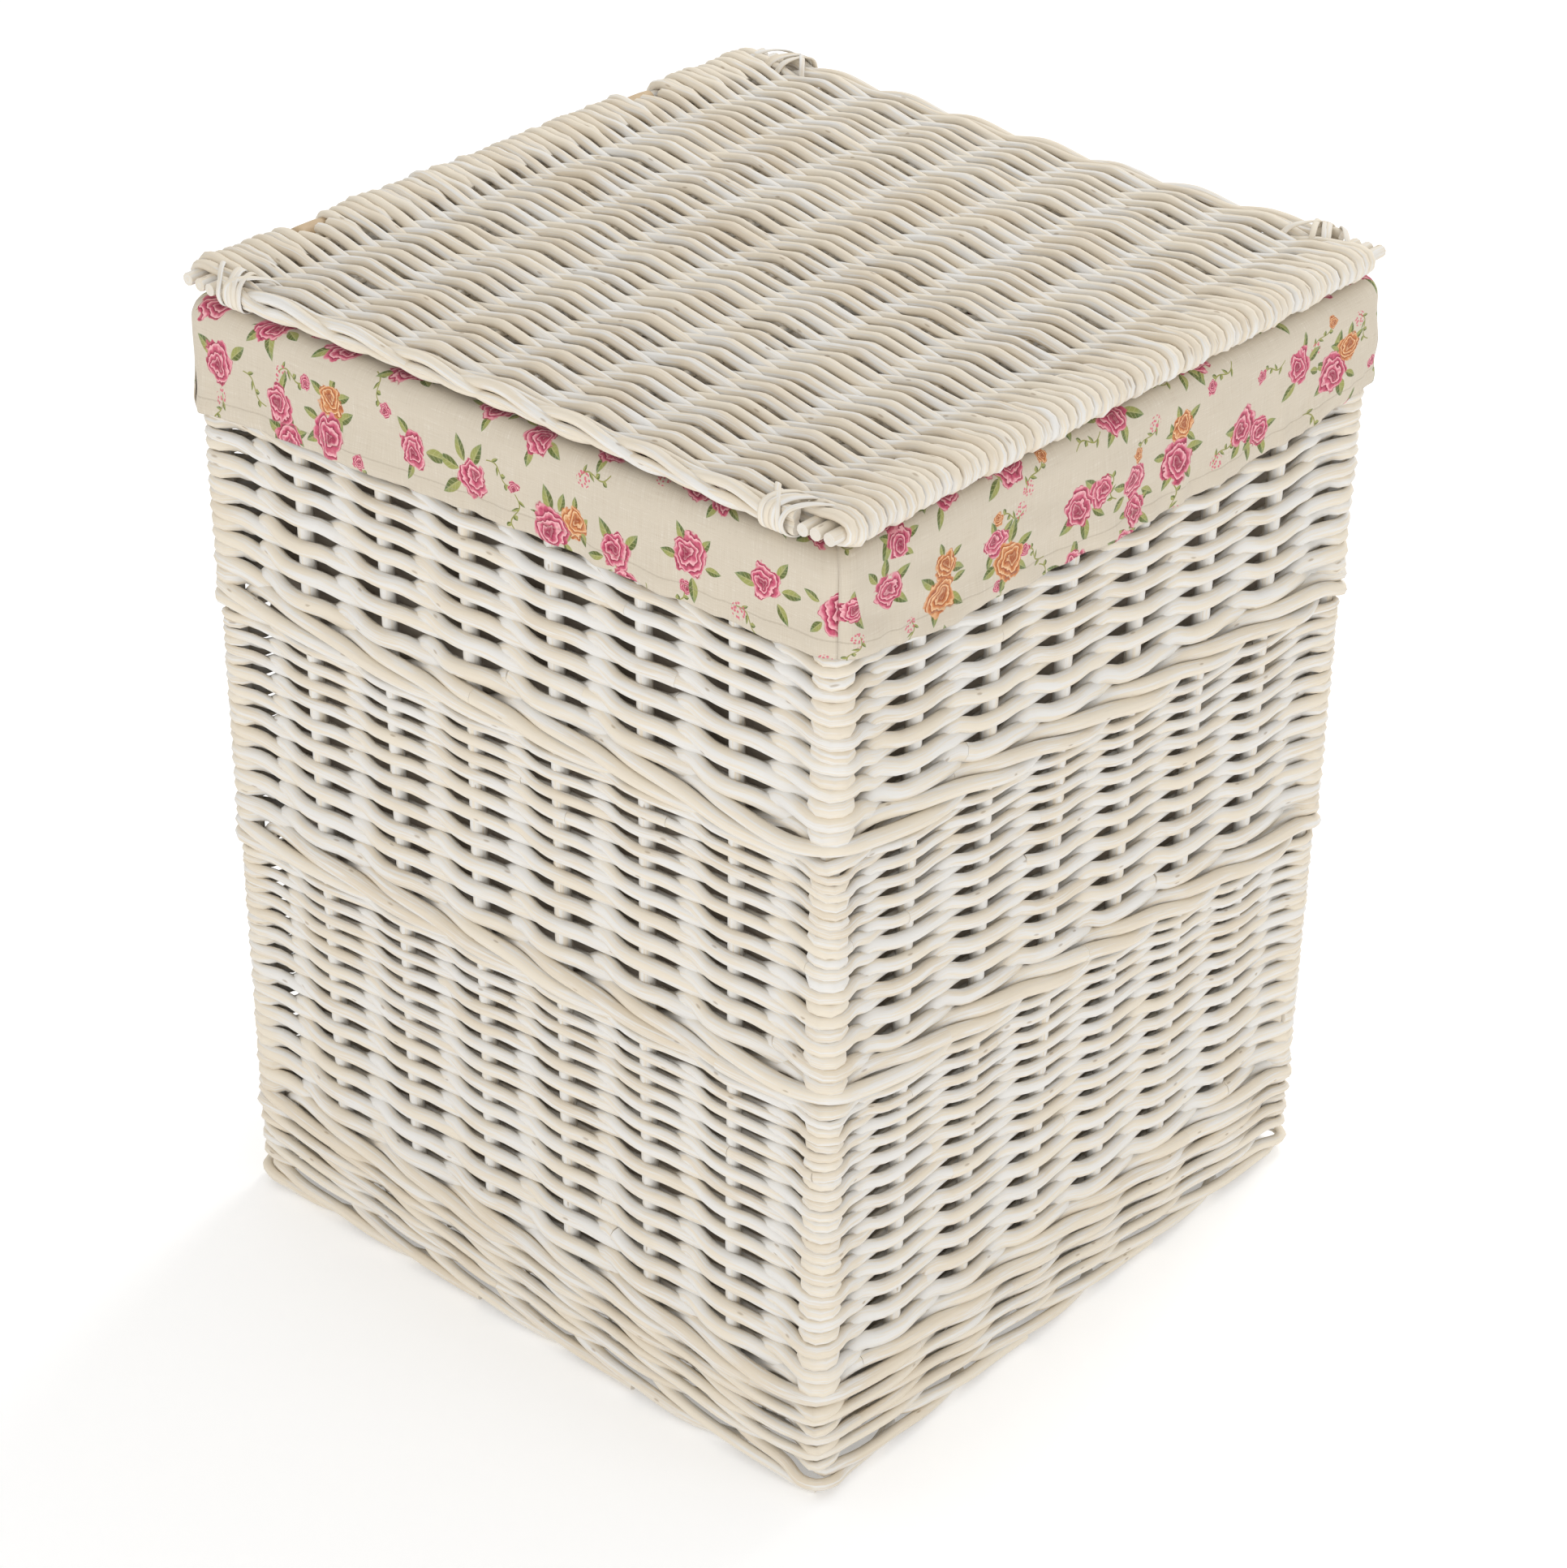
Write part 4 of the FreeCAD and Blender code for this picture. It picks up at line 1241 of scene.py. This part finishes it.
def make_strap_material(colours):
    """Smooth beige strap with a fine even grain."""
    graph, surface = new_material("Strap")
    grain = graph.add("ShaderNodeUVMap", uv_map="Grain").outputs[0]
    pores = graph.noise(grain, 900.0, 3.0, 0.6)
    clouds = graph.noise(grain, 70.0, 2.0, 0.5)
    tone = graph.mix(graph.ramp(clouds, 0.3, 0.75, 0.0, 0.45), tuple(colours.strap), (0.42, 0.29, 0.16))
    graph.feed(surface.inputs["Base Color"], graph.mix(graph.ramp(pores, 0.55, 0.8, 0.0, 0.3), tone, (0.3, 0.2, 0.11)))
    graph.feed(surface.inputs["Roughness"], graph.ramp(clouds, 0.2, 0.8, 0.42, 0.62))
    bump = graph.add("ShaderNodeBump", Height=pores, Strength=0.4, Distance=0.0003)
    graph.feed(surface.inputs["Normal"], bump.outputs[0])


THREAD_PITCH = 0.0009


def make_weave_group():
    """Plain woven linen: threads each way, slubs and flecks."""
    graph, start, end = new_group(
        "Linen weave",
        [("Flat", "NodeSocketVector"), ("Ground", "NodeSocketColor", (0.7, 0.6, 0.5, 1)),
         ("Fleck", "NodeSocketColor", (0.4, 0.3, 0.2, 1)), ("Thread", "NodeSocketColor", (0.9, 0.9, 0.8, 1))],
        [("Color", "NodeSocketColor"), ("Height", "NodeSocketFloat")])
    across, down, _ = graph.separate(start["Flat"])
    turn = 2 * math.pi / THREAD_PITCH
    warp = graph.maths("SINE", graph.times(across, turn))
    weft = graph.maths("SINE", graph.times(down, turn))
    warp_slub = graph.noise(graph.combine(
        graph.times(across, 1500.0), graph.times(down, 60.0)), 1.0, 2.0, 0.5)
    weft_slub = graph.noise(graph.combine(
        graph.times(across, 60.0), graph.times(down, 1500.0), 7.0), 1.0, 2.0, 0.5)
    slubs = graph.plus(warp_slub, weft_slub)
    tone = graph.mix(graph.ramp(slubs, 1.05, 1.45, 0.0, 0.42), start["Ground"], start["Fleck"])
    tone = graph.mix(graph.ramp(slubs, 0.62, 0.92, 0.22, 0.0), tone, start["Thread"])
    graph.feed(end["Color"], tone)
    graph.feed(end["Height"], graph.plus(
        graph.times(graph.times(warp, weft), 0.3), slubs))


def make_bloom_group(colours):
    """A painted rose seen from above, of radius 1: curled petals from dark to pale, with dark edges."""
    graph, start, end = new_group(
        "Rose bloom",
        [("Place", "NodeSocketVector"), ("Seed", "NodeSocketFloat"), ("Amber", "NodeSocketFloat")],
        [("Color", "NodeSocketColor"), ("Mask", "NodeSocketFloat")])
    shake = graph.add(
        "ShaderNodeTexNoise", Vector=graph.vector("ADD", start["Place"], graph.combine(z=start["Seed"])),
        Scale=1.7, Detail=2.0, Roughness=0.55).outputs["Color"]
    shake = graph.vector("SCALE", graph.vector("SUBTRACT", shake, (0.5, 0.5, 0.5)), scale=0.80)
    moved = graph.vector("MULTIPLY", graph.vector("ADD", start["Place"], shake), (1, 1, 0))
    outer = graph.vector("LENGTH", moved)
    x, y, _ = graph.separate(moved)
    swing = graph.maths("ARCTAN2", y, x)
    lobes = graph.maths("ABSOLUTE", graph.maths(
        "SINE", graph.maths("MULTIPLY_ADD", swing, 2.5, start["Seed"])))
    rim = graph.maths("MULTIPLY_ADD", lobes, 0.20, 0.82)
    graph.feed(end["Mask"], graph.ramp(graph.maths("DIVIDE", outer, rim), 0.94, 1.02, 1.0, 0.0))
    heart = graph.vector("SUBTRACT", moved, (0.05, 0.20, 0))
    near = graph.vector("LENGTH", heart)
    hx, hy, _ = graph.separate(heart)
    turn = graph.maths("ARCTAN2", hy, hx)
    curl = graph.maths("ABSOLUTE", graph.maths("SINE", graph.maths("MULTIPLY_ADD", turn, 1.5, start["Seed"])))
    layer = graph.maths("MULTIPLY_ADD", near, 3.5, graph.times(turn, 1 / (2 * math.pi)))
    layer = graph.maths("MULTIPLY_ADD", curl, 0.42, layer)
    part = graph.maths("FRACT", layer)
    dark = graph.mix(start["Amber"], (0.25, 0.008, 0.045), (0.30, 0.060, 0.014))
    middle = graph.mix(start["Amber"], tuple(colours.petal), tuple(colours.amber))
    pale = graph.mix(start["Amber"], (0.86, 0.46, 0.49), (0.85, 0.56, 0.31))
    colour = graph.mix(graph.ramp(part, 0.02, 0.42), dark, middle)
    colour = graph.mix(graph.ramp(part, 0.42, 0.90, 0.0, 0.9), colour, pale)
    colour = graph.mix(graph.ramp(part, 0.955, 0.985, 0.0, 0.75), colour, dark)
    colour = graph.mix(graph.ramp(near, 0.10, 0.42, 0.75, 0.0), colour, dark)
    colour = graph.mix(graph.ramp(graph.maths("DIVIDE", outer, rim), 0.86, 0.99, 0.0, 0.6), colour, middle)
    graph.feed(end["Color"], colour)


def make_leaf_group(colours):
    """A painted leaf along X, from -1 to 1, half of it dark, with a pale rib."""
    graph, start, end = new_group(
        "Leaf", [("Place", "NodeSocketVector"), ("Width", "NodeSocketFloat", 0.42)],
        [("Color", "NodeSocketColor"), ("Mask", "NodeSocketFloat")])
    x, y, _ = graph.separate(start["Place"])
    belly = graph.maths("SUBTRACT", 1.0, graph.times(x, x), clamp=True)
    belly = graph.times(belly, graph.maths("MULTIPLY_ADD", x, -0.25, 1.0))
    room = graph.minus(graph.times(belly, start["Width"]), graph.maths("ABSOLUTE", y))
    graph.feed(end["Mask"], graph.ramp(room, 0.0, 0.07))
    colour = graph.mix(graph.ramp(y, -0.06, 0.10), tuple(colours.leaf), (0.095, 0.125, 0.022))
    veins = graph.maths("FRACT", graph.maths("MULTIPLY_ADD", x, 2.6, graph.maths(
        "MULTIPLY", graph.maths("ABSOLUTE", y), -2.4)))
    colour = graph.mix(graph.ramp(veins, 0.78, 0.92, 0.0, 0.5), colour, (0.46, 0.44, 0.20))
    colour = graph.mix(graph.ramp(graph.maths("ABSOLUTE", y), 0.02, 0.06, 0.7, 0.0), colour, (0.44, 0.42, 0.18))
    colour = graph.mix(graph.ramp(x, 0.0, 1.0, 0.0, 0.45), colour, (0.075, 0.185, 0.105))
    graph.feed(end["Color"], colour)


def scattered(graph, flat, cell, jitter, seed):
    """Places one motif in every cell. Gives the vector from the cell's point, its random colour and the point."""
    moved = graph.vector("ADD", flat, (seed, seed * 1.7, 0))
    cells = graph.add(
        "ShaderNodeTexVoronoi", voronoi_dimensions="2D", Vector=moved, Scale=1 / cell, Randomness=jitter)
    point = cells.outputs["Position"]
    away = graph.vector("MULTIPLY", graph.vector("SUBTRACT", moved, point), (1, 1, 0))
    return away, cells.outputs["Color"], graph.vector("SUBTRACT", point, (seed, seed * 1.7, 0))


def turned(graph, vector, angle):
    """A vector turned about Z."""
    return graph.add("ShaderNodeVectorRotate", rotation_type="Z_AXIS", Vector=vector, Angle=angle).outputs[0]


def leaf_ring(graph, away, leaves, distance, size, seed):
    """Leaves all round a point: their colour and mask."""
    x, y, _ = graph.separate(away)
    sector = 2 * math.pi / leaves
    turn = graph.maths("MULTIPLY_ADD", graph.maths("ARCTAN2", y, x), 1 / sector, graph.times(seed, 9.0))
    number = graph.maths("FLOOR", turn)
    swing = graph.times(graph.minus(graph.maths("FRACT", turn), 0.5), sector)
    chance = graph.add(
        "ShaderNodeTexWhiteNoise", noise_dimensions="2D", Vector=graph.combine(number, seed)).outputs["Color"]
    one, two, three = graph.separate(chance)
    reach = graph.vector("LENGTH", away)
    swing = graph.plus(swing, graph.times(graph.minus(two, 0.5), 0.5))
    along = graph.minus(graph.times(reach, graph.maths("COSINE", swing)), distance)
    aside = graph.times(reach, graph.maths("SINE", swing))
    length = graph.maths("MULTIPLY_ADD", three, 0.45 * size, 0.75 * size)
    place = graph.combine(graph.maths("DIVIDE", along, length), graph.maths("DIVIDE", aside, length))
    leaf = graph.group("Leaf", Place=place, Width=0.44)
    mask = graph.times(leaf["Mask"], graph.maths("GREATER_THAN", one, 0.30))
    return leaf["Color"], mask


# The print, in metres: cells that hold one rose group or one sprig, and the sizes of what is in them
ROSE_CELL = 0.0475
ROSE_JITTER = 0.42
ROSE_SHIFT = 0.31
SECOND_ROSE = 0.0090
SPRIG_CELL = 0.030
SPRIG_TURN = 0.62
SPRIG_REACH = 0.0105
LEAF_GAP = 0.0042
BUD = 0.0042
BERRY_CELL = 0.0021


def make_print_group():
    """Small roses, buds, sprigs and berries scattered over the cloth, in metres."""
    graph, start, end = new_group(
        "Rose print", [("Flat", "NodeSocketVector"), ("Ground", "NodeSocketColor", (0.7, 0.6, 0.5, 1))],
        [("Color", "NodeSocketColor")])
    colour = start["Ground"]
    flat = start["Flat"]
    away, chance, _ = scattered(graph, flat, ROSE_CELL, ROSE_JITTER, ROSE_SHIFT)
    one, two, three = graph.separate(chance)
    away = turned(graph, away, graph.times(one, 6.28))

    sprig, luck, centre = scattered(graph, turned(graph, flat, SPRIG_TURN), SPRIG_CELL, 0.5, 0.77)
    home = turned(graph, centre, -SPRIG_TURN)
    moved = graph.vector("ADD", home, (ROSE_SHIFT, ROSE_SHIFT * 1.7, 0))
    nearest = graph.add(
        "ShaderNodeTexVoronoi", voronoi_dimensions="2D", Vector=moved, Scale=1 / ROSE_CELL, Randomness=ROSE_JITTER)
    clear = graph.maths("GREATER_THAN", nearest.outputs["Distance"], 0.44)
    four, five, six = graph.separate(luck)
    sprig = turned(graph, sprig, graph.times(four, 6.28))
    sx, sy, _ = graph.separate(sprig)
    bend = graph.times(graph.maths("SINE", graph.times(sx, 330.0)), 0.0022)
    side_way = graph.minus(sy, bend)
    stem = graph.times(
        graph.ramp(graph.maths("ABSOLUTE", side_way), 0.00028, 0.00052, 1.0, 0.0),
        graph.maths("LESS_THAN", graph.maths("ABSOLUTE", sx), SPRIG_REACH))
    stem = graph.times(stem, clear)
    colour = graph.mix(stem, colour, (0.27, 0.27, 0.07))
    step = graph.times(sx, 1 / LEAF_GAP)
    turn_side = graph.maths("MULTIPLY_ADD", graph.maths("MODULO", graph.maths(
        "ABSOLUTE", graph.maths("FLOOR", step)), 2.0), 2.0, -1.0)
    local = graph.combine(
        graph.times(graph.minus(graph.maths("FRACT", step), 0.5), LEAF_GAP),
        graph.maths("MULTIPLY_ADD", turn_side, -0.0017, side_way))
    local = graph.vector("SCALE", turned(graph, local, graph.times(turn_side, -0.95)), scale=1 / 0.0023)
    small = graph.group("Leaf", Place=local, Width=0.5)
    leafy = graph.times(small["Mask"], graph.maths("LESS_THAN", graph.maths("ABSOLUTE", sx), 0.0088))
    leafy = graph.times(leafy, clear)
    colour = graph.mix(leafy, colour, small["Color"])
    bud_at = graph.vector("SCALE", graph.vector("SUBTRACT", sprig, (SPRIG_REACH, 0.0, 0)), scale=1 / BUD)
    bud = graph.group("Rose bloom", Place=bud_at, Seed=graph.times(five, 30.0),
                      Amber=graph.maths("GREATER_THAN", six, 0.72))
    budded = graph.times(bud["Mask"], clear)
    budded = graph.times(budded, graph.maths("GREATER_THAN", five, 0.4))
    colour = graph.mix(budded, colour, bud["Color"])
    berries = graph.add("ShaderNodeTexVoronoi", voronoi_dimensions="2D", Vector=flat, Scale=1 / BERRY_CELL)
    spot = graph.ramp(berries.outputs["Distance"], 0.26, 0.40, 1.0, 0.0)
    around_it = graph.vector("LENGTH", graph.vector("SUBTRACT", sprig, (-0.0080, 0.0015, 0)))
    spot = graph.times(spot, graph.maths("LESS_THAN", around_it, 0.0046))
    spot = graph.times(graph.times(spot, clear), graph.maths("GREATER_THAN", six, 0.45))
    colour = graph.mix(graph.times(spot, 0.85), colour, (0.62, 0.08, 0.16))

    leaf_colour, leaf_mask = leaf_ring(graph, away, 6, 0.0142, 0.0070, one)
    colour = graph.mix(leaf_mask, colour, leaf_colour)
    second_at = graph.vector("SUBTRACT", away, (0.0108, -0.0078, 0))
    second_leaf, second_mask = leaf_ring(graph, second_at, 5, 0.0102, 0.0056, three)
    paired = graph.maths("GREATER_THAN", two, 0.42)
    second_mask = graph.times(second_mask, paired)
    colour = graph.mix(second_mask, colour, second_leaf)
    second = graph.group(
        "Rose bloom", Place=turned(graph, graph.vector("SCALE", second_at, scale=1 / SECOND_ROSE), 2.0),
        Seed=graph.times(three, 41.0), Amber=graph.maths("GREATER_THAN", three, 0.66))
    bloom_two = graph.times(second["Mask"], paired)
    colour = graph.mix(bloom_two, colour, second["Color"])
    first_at = graph.vector("SUBTRACT", away, (-0.003, 0.002, 0))
    first = graph.group(
        "Rose bloom", Place=graph.vector("SCALE", first_at, scale=graph.maths("MULTIPLY_ADD", three, -27.0, 104.0)),
        Seed=graph.times(two, 23.0), Amber=graph.maths("GREATER_THAN", two, 0.88))
    colour = graph.mix(first["Mask"], colour, first["Color"])
    graph.feed(end["Color"], colour)


# The hem's line of stitches: its height above the edge, and the length of one stitch
STITCH_HEIGHT = 0.0092
STITCH_LENGTH = 0.0032


def make_cloth_materials(colours):
    """Rose-printed linen, and its plain underside, darkened with painted shade behind the weave."""
    for name in ("Rose linen", "Linen underside with painted shade"):
        graph, surface = new_material(name)
        flat = graph.add("ShaderNodeUVMap", uv_map="Grain").outputs[0]
        under = name == "Linen underside with painted shade"
        # The plain back of the cloth, darkened with painted shade where it shows through the weave's gaps.
        woven = graph.group(
            "Linen weave", Flat=flat, Ground=(0.55, 0.485, 0.41) if under else tuple(colours.linen),
            Fleck=(0.46, 0.40, 0.33) if under else (0.47, 0.38, 0.28),
            Thread=(0.66, 0.59, 0.50) if under else (0.93, 0.90, 0.84))
        colour = woven["Color"]
        height = woven["Height"]
        if not under:
            printed = graph.group("Rose print", Flat=flat, Ground=colour)
            soak = graph.maths("MULTIPLY_ADD", graph.ramp(height, 0.9, 1.4), -0.22, 1.0)
            colour = graph.mix(soak, colour, printed["Color"])
            hem = graph.add("ShaderNodeAttribute", attribute_name="hem").outputs["Fac"]
            across = graph.separate(flat)[0]
            line = graph.ramp(graph.maths("ABSOLUTE", graph.minus(hem, STITCH_HEIGHT)), 0.0002, 0.0005, 1.0, 0.0)
            stitch = graph.times(line, graph.maths(
                "LESS_THAN", graph.maths("FRACT", graph.times(across, 1 / STITCH_LENGTH)), 0.68))
            colour = graph.mix(graph.times(line, 0.32), colour, (0.36, 0.30, 0.22))
            height = graph.plus(height, graph.times(stitch, -1.6))
        graph.feed(surface.inputs["Base Color"], colour)
        surface.inputs["Roughness"].default_value = 0.88
        surface.inputs["Specular IOR Level"].default_value = 0.2
        surface.inputs["Sheen Weight"].default_value = 0.12
        surface.inputs["Sheen Roughness"].default_value = 0.5
        bump = graph.add("ShaderNodeBump", Height=height, Strength=0.5, Distance=0.0002)
        graph.feed(surface.inputs["Normal"], bump.outputs[0])


class BASKET_OT_materials(bpy.types.Operator):
    """Makes the node groups and materials"""

    bl_idname = "basket.materials"
    bl_label = "Materials"

    def execute(self, context):
        """Makes every group, then every material."""
        colours = context.scene.basket_colours
        make_grain_group()
        make_willow_material("Willow", colours, 0.0)
        make_willow_material("Willow skein", colours, 0.05)
        make_strap_material(colours)
        make_weave_group()
        make_bloom_group(colours)
        make_leaf_group(colours)
        make_print_group()
        make_cloth_materials(colours)
        return {"FINISHED"}


# Stage


FLOOR_REACH = 9
FLOOR_GLOW = 0.25
WORLD_LIGHT = 0.76
# Name, place, power in watts and diameter of each lamp, and the point that they all aim at
LAMPS = (
    ("key", (1.7, 0.2, 2.2), 26, 1.3),
    ("fill", (-2.5, -0.7, 0.9), 17, 1.8),
    ("front", (0.5, -2.8, 0.9), 11, 1.8),
)
LOOK_AT = (0, 0, 0.3)
# The camera: focal length in millimetres, place, and the three angles in degrees
FOCAL_LENGTH = 90.6
EYE = (-1.4294, -1.2254, 1.3808)
HEADING = 49.39
DIP = 30.79
ROLL = 0.82


class BASKET_OT_stage(bpy.types.Operator):
    """Sets the floor, the light and the camera"""

    bl_idname = "basket.stage"
    bl_label = "Stage"

    def execute(self, context):
        """Makes a seamless pale floor, three soft lights and the camera."""
        scene = context.scene
        mesh = bpy.data.meshes.new("floor")
        corners = [(x * FLOOR_REACH, y * FLOOR_REACH, 0) for x, y in ((-1, -1), (1, -1), (1, 1), (-1, 1))]
        mesh.from_pydata(corners, [], [(0, 1, 2, 3)])
        graph, surface = new_material("Floor")
        graph.feed(surface.inputs["Base Color"], tuple(scene.basket_colours.floor))
        surface.inputs["Roughness"].default_value = 0.9
        surface.inputs["Specular IOR Level"].default_value = 0.1
        surface.inputs["Emission Color"].default_value = (1, 1, 1, 1)
        surface.inputs["Emission Strength"].default_value = FLOOR_GLOW
        mesh.materials.append(material("Floor"))
        floor = bpy.data.objects.new("floor", mesh)
        scene.collection.objects.link(floor)
        world = bpy.data.worlds.new("Studio")
        scene.world = world
        scene.view_settings.view_transform = "Standard"
        world.use_nodes = True
        background = world.node_tree.nodes["Background"]
        background.inputs["Color"].default_value = (1, 1, 1, 1)
        background.inputs["Strength"].default_value = WORLD_LIGHT
        for name, place, power, size in LAMPS:
            light = bpy.data.lights.new(name, "AREA")
            light.energy = power
            light.shape = "DISK"
            light.size = size
            lamp = bpy.data.objects.new(name, light)
            lamp.location = place
            aim = Vector(LOOK_AT) - Vector(place)
            lamp.rotation_euler = aim.to_track_quat("-Z", "Y").to_euler()
            scene.collection.objects.link(lamp)
        camera = bpy.data.cameras.new("camera")
        camera.lens = FOCAL_LENGTH
        camera.sensor_width = 36
        camera.clip_end = 50
        eye = bpy.data.objects.new("camera", camera)
        heading, dip, roll = (math.radians(angle) for angle in (HEADING, DIP, ROLL))
        forward = Vector((
            math.sin(heading) * math.cos(dip), math.cos(heading) * math.cos(dip), -math.sin(dip)))
        level = forward.cross(Vector((0, 0, 1))).normalized()
        upright = level.cross(forward)
        right = level * math.cos(roll) + upright * math.sin(roll)
        up = upright * math.cos(roll) - level * math.sin(roll)
        eye.matrix_world = Matrix.Translation(EYE) @ Matrix(
            (right, up, -forward)).transposed().to_4x4()
        scene.collection.objects.link(eye)
        scene.camera = eye
        return {"FINISHED"}


class BASKET_PT_panel(bpy.types.Panel):
    """Sizes, colours and steps"""

    bl_idname = "BASKET_PT_panel"
    bl_label = "Basket"
    bl_space_type = "VIEW_3D"
    bl_region_type = "UI"
    bl_category = "Basket"

    def draw(self, context):
        """Draws the sizes, the colours and a button for each step."""
        for group in (context.scene.basket_sizes, context.scene.basket_colours):
            for name in group.__annotations__:
                self.layout.prop(group, name)
        for step in STEPS:
            self.layout.operator(step.bl_idname)


STEPS = (
    BASKET_OT_materials,
    BASKET_OT_wall,
    BASKET_OT_uprights,
    BASKET_OT_foot,
    BASKET_OT_base,
    BASKET_OT_lining,
    BASKET_OT_lid,
    BASKET_OT_lid_sticks,
    BASKET_OT_lid_edges,
    BASKET_OT_hinges,
    BASKET_OT_stage,
)
CLASSES = (BasketSizes, BasketColours, *STEPS, BASKET_PT_panel)


def register():
    """Registers the classes and the scene's two groups of settings."""
    for item in CLASSES:
        bpy.utils.register_class(item)
    bpy.types.Scene.basket_sizes = PointerProperty(type=BasketSizes)
    bpy.types.Scene.basket_colours = PointerProperty(type=BasketColours)


def unregister():
    """Takes everything away again."""
    del bpy.types.Scene.basket_colours
    del bpy.types.Scene.basket_sizes
    for item in reversed(CLASSES):
        bpy.utils.unregister_class(item)


def main():
    """Builds every piece."""
    register()
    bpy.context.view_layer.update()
    for step in STEPS:
        group, _, name = step.bl_idname.partition(".")
        getattr(getattr(bpy.ops, group), name)()


if __name__ == "__main__":
    main()
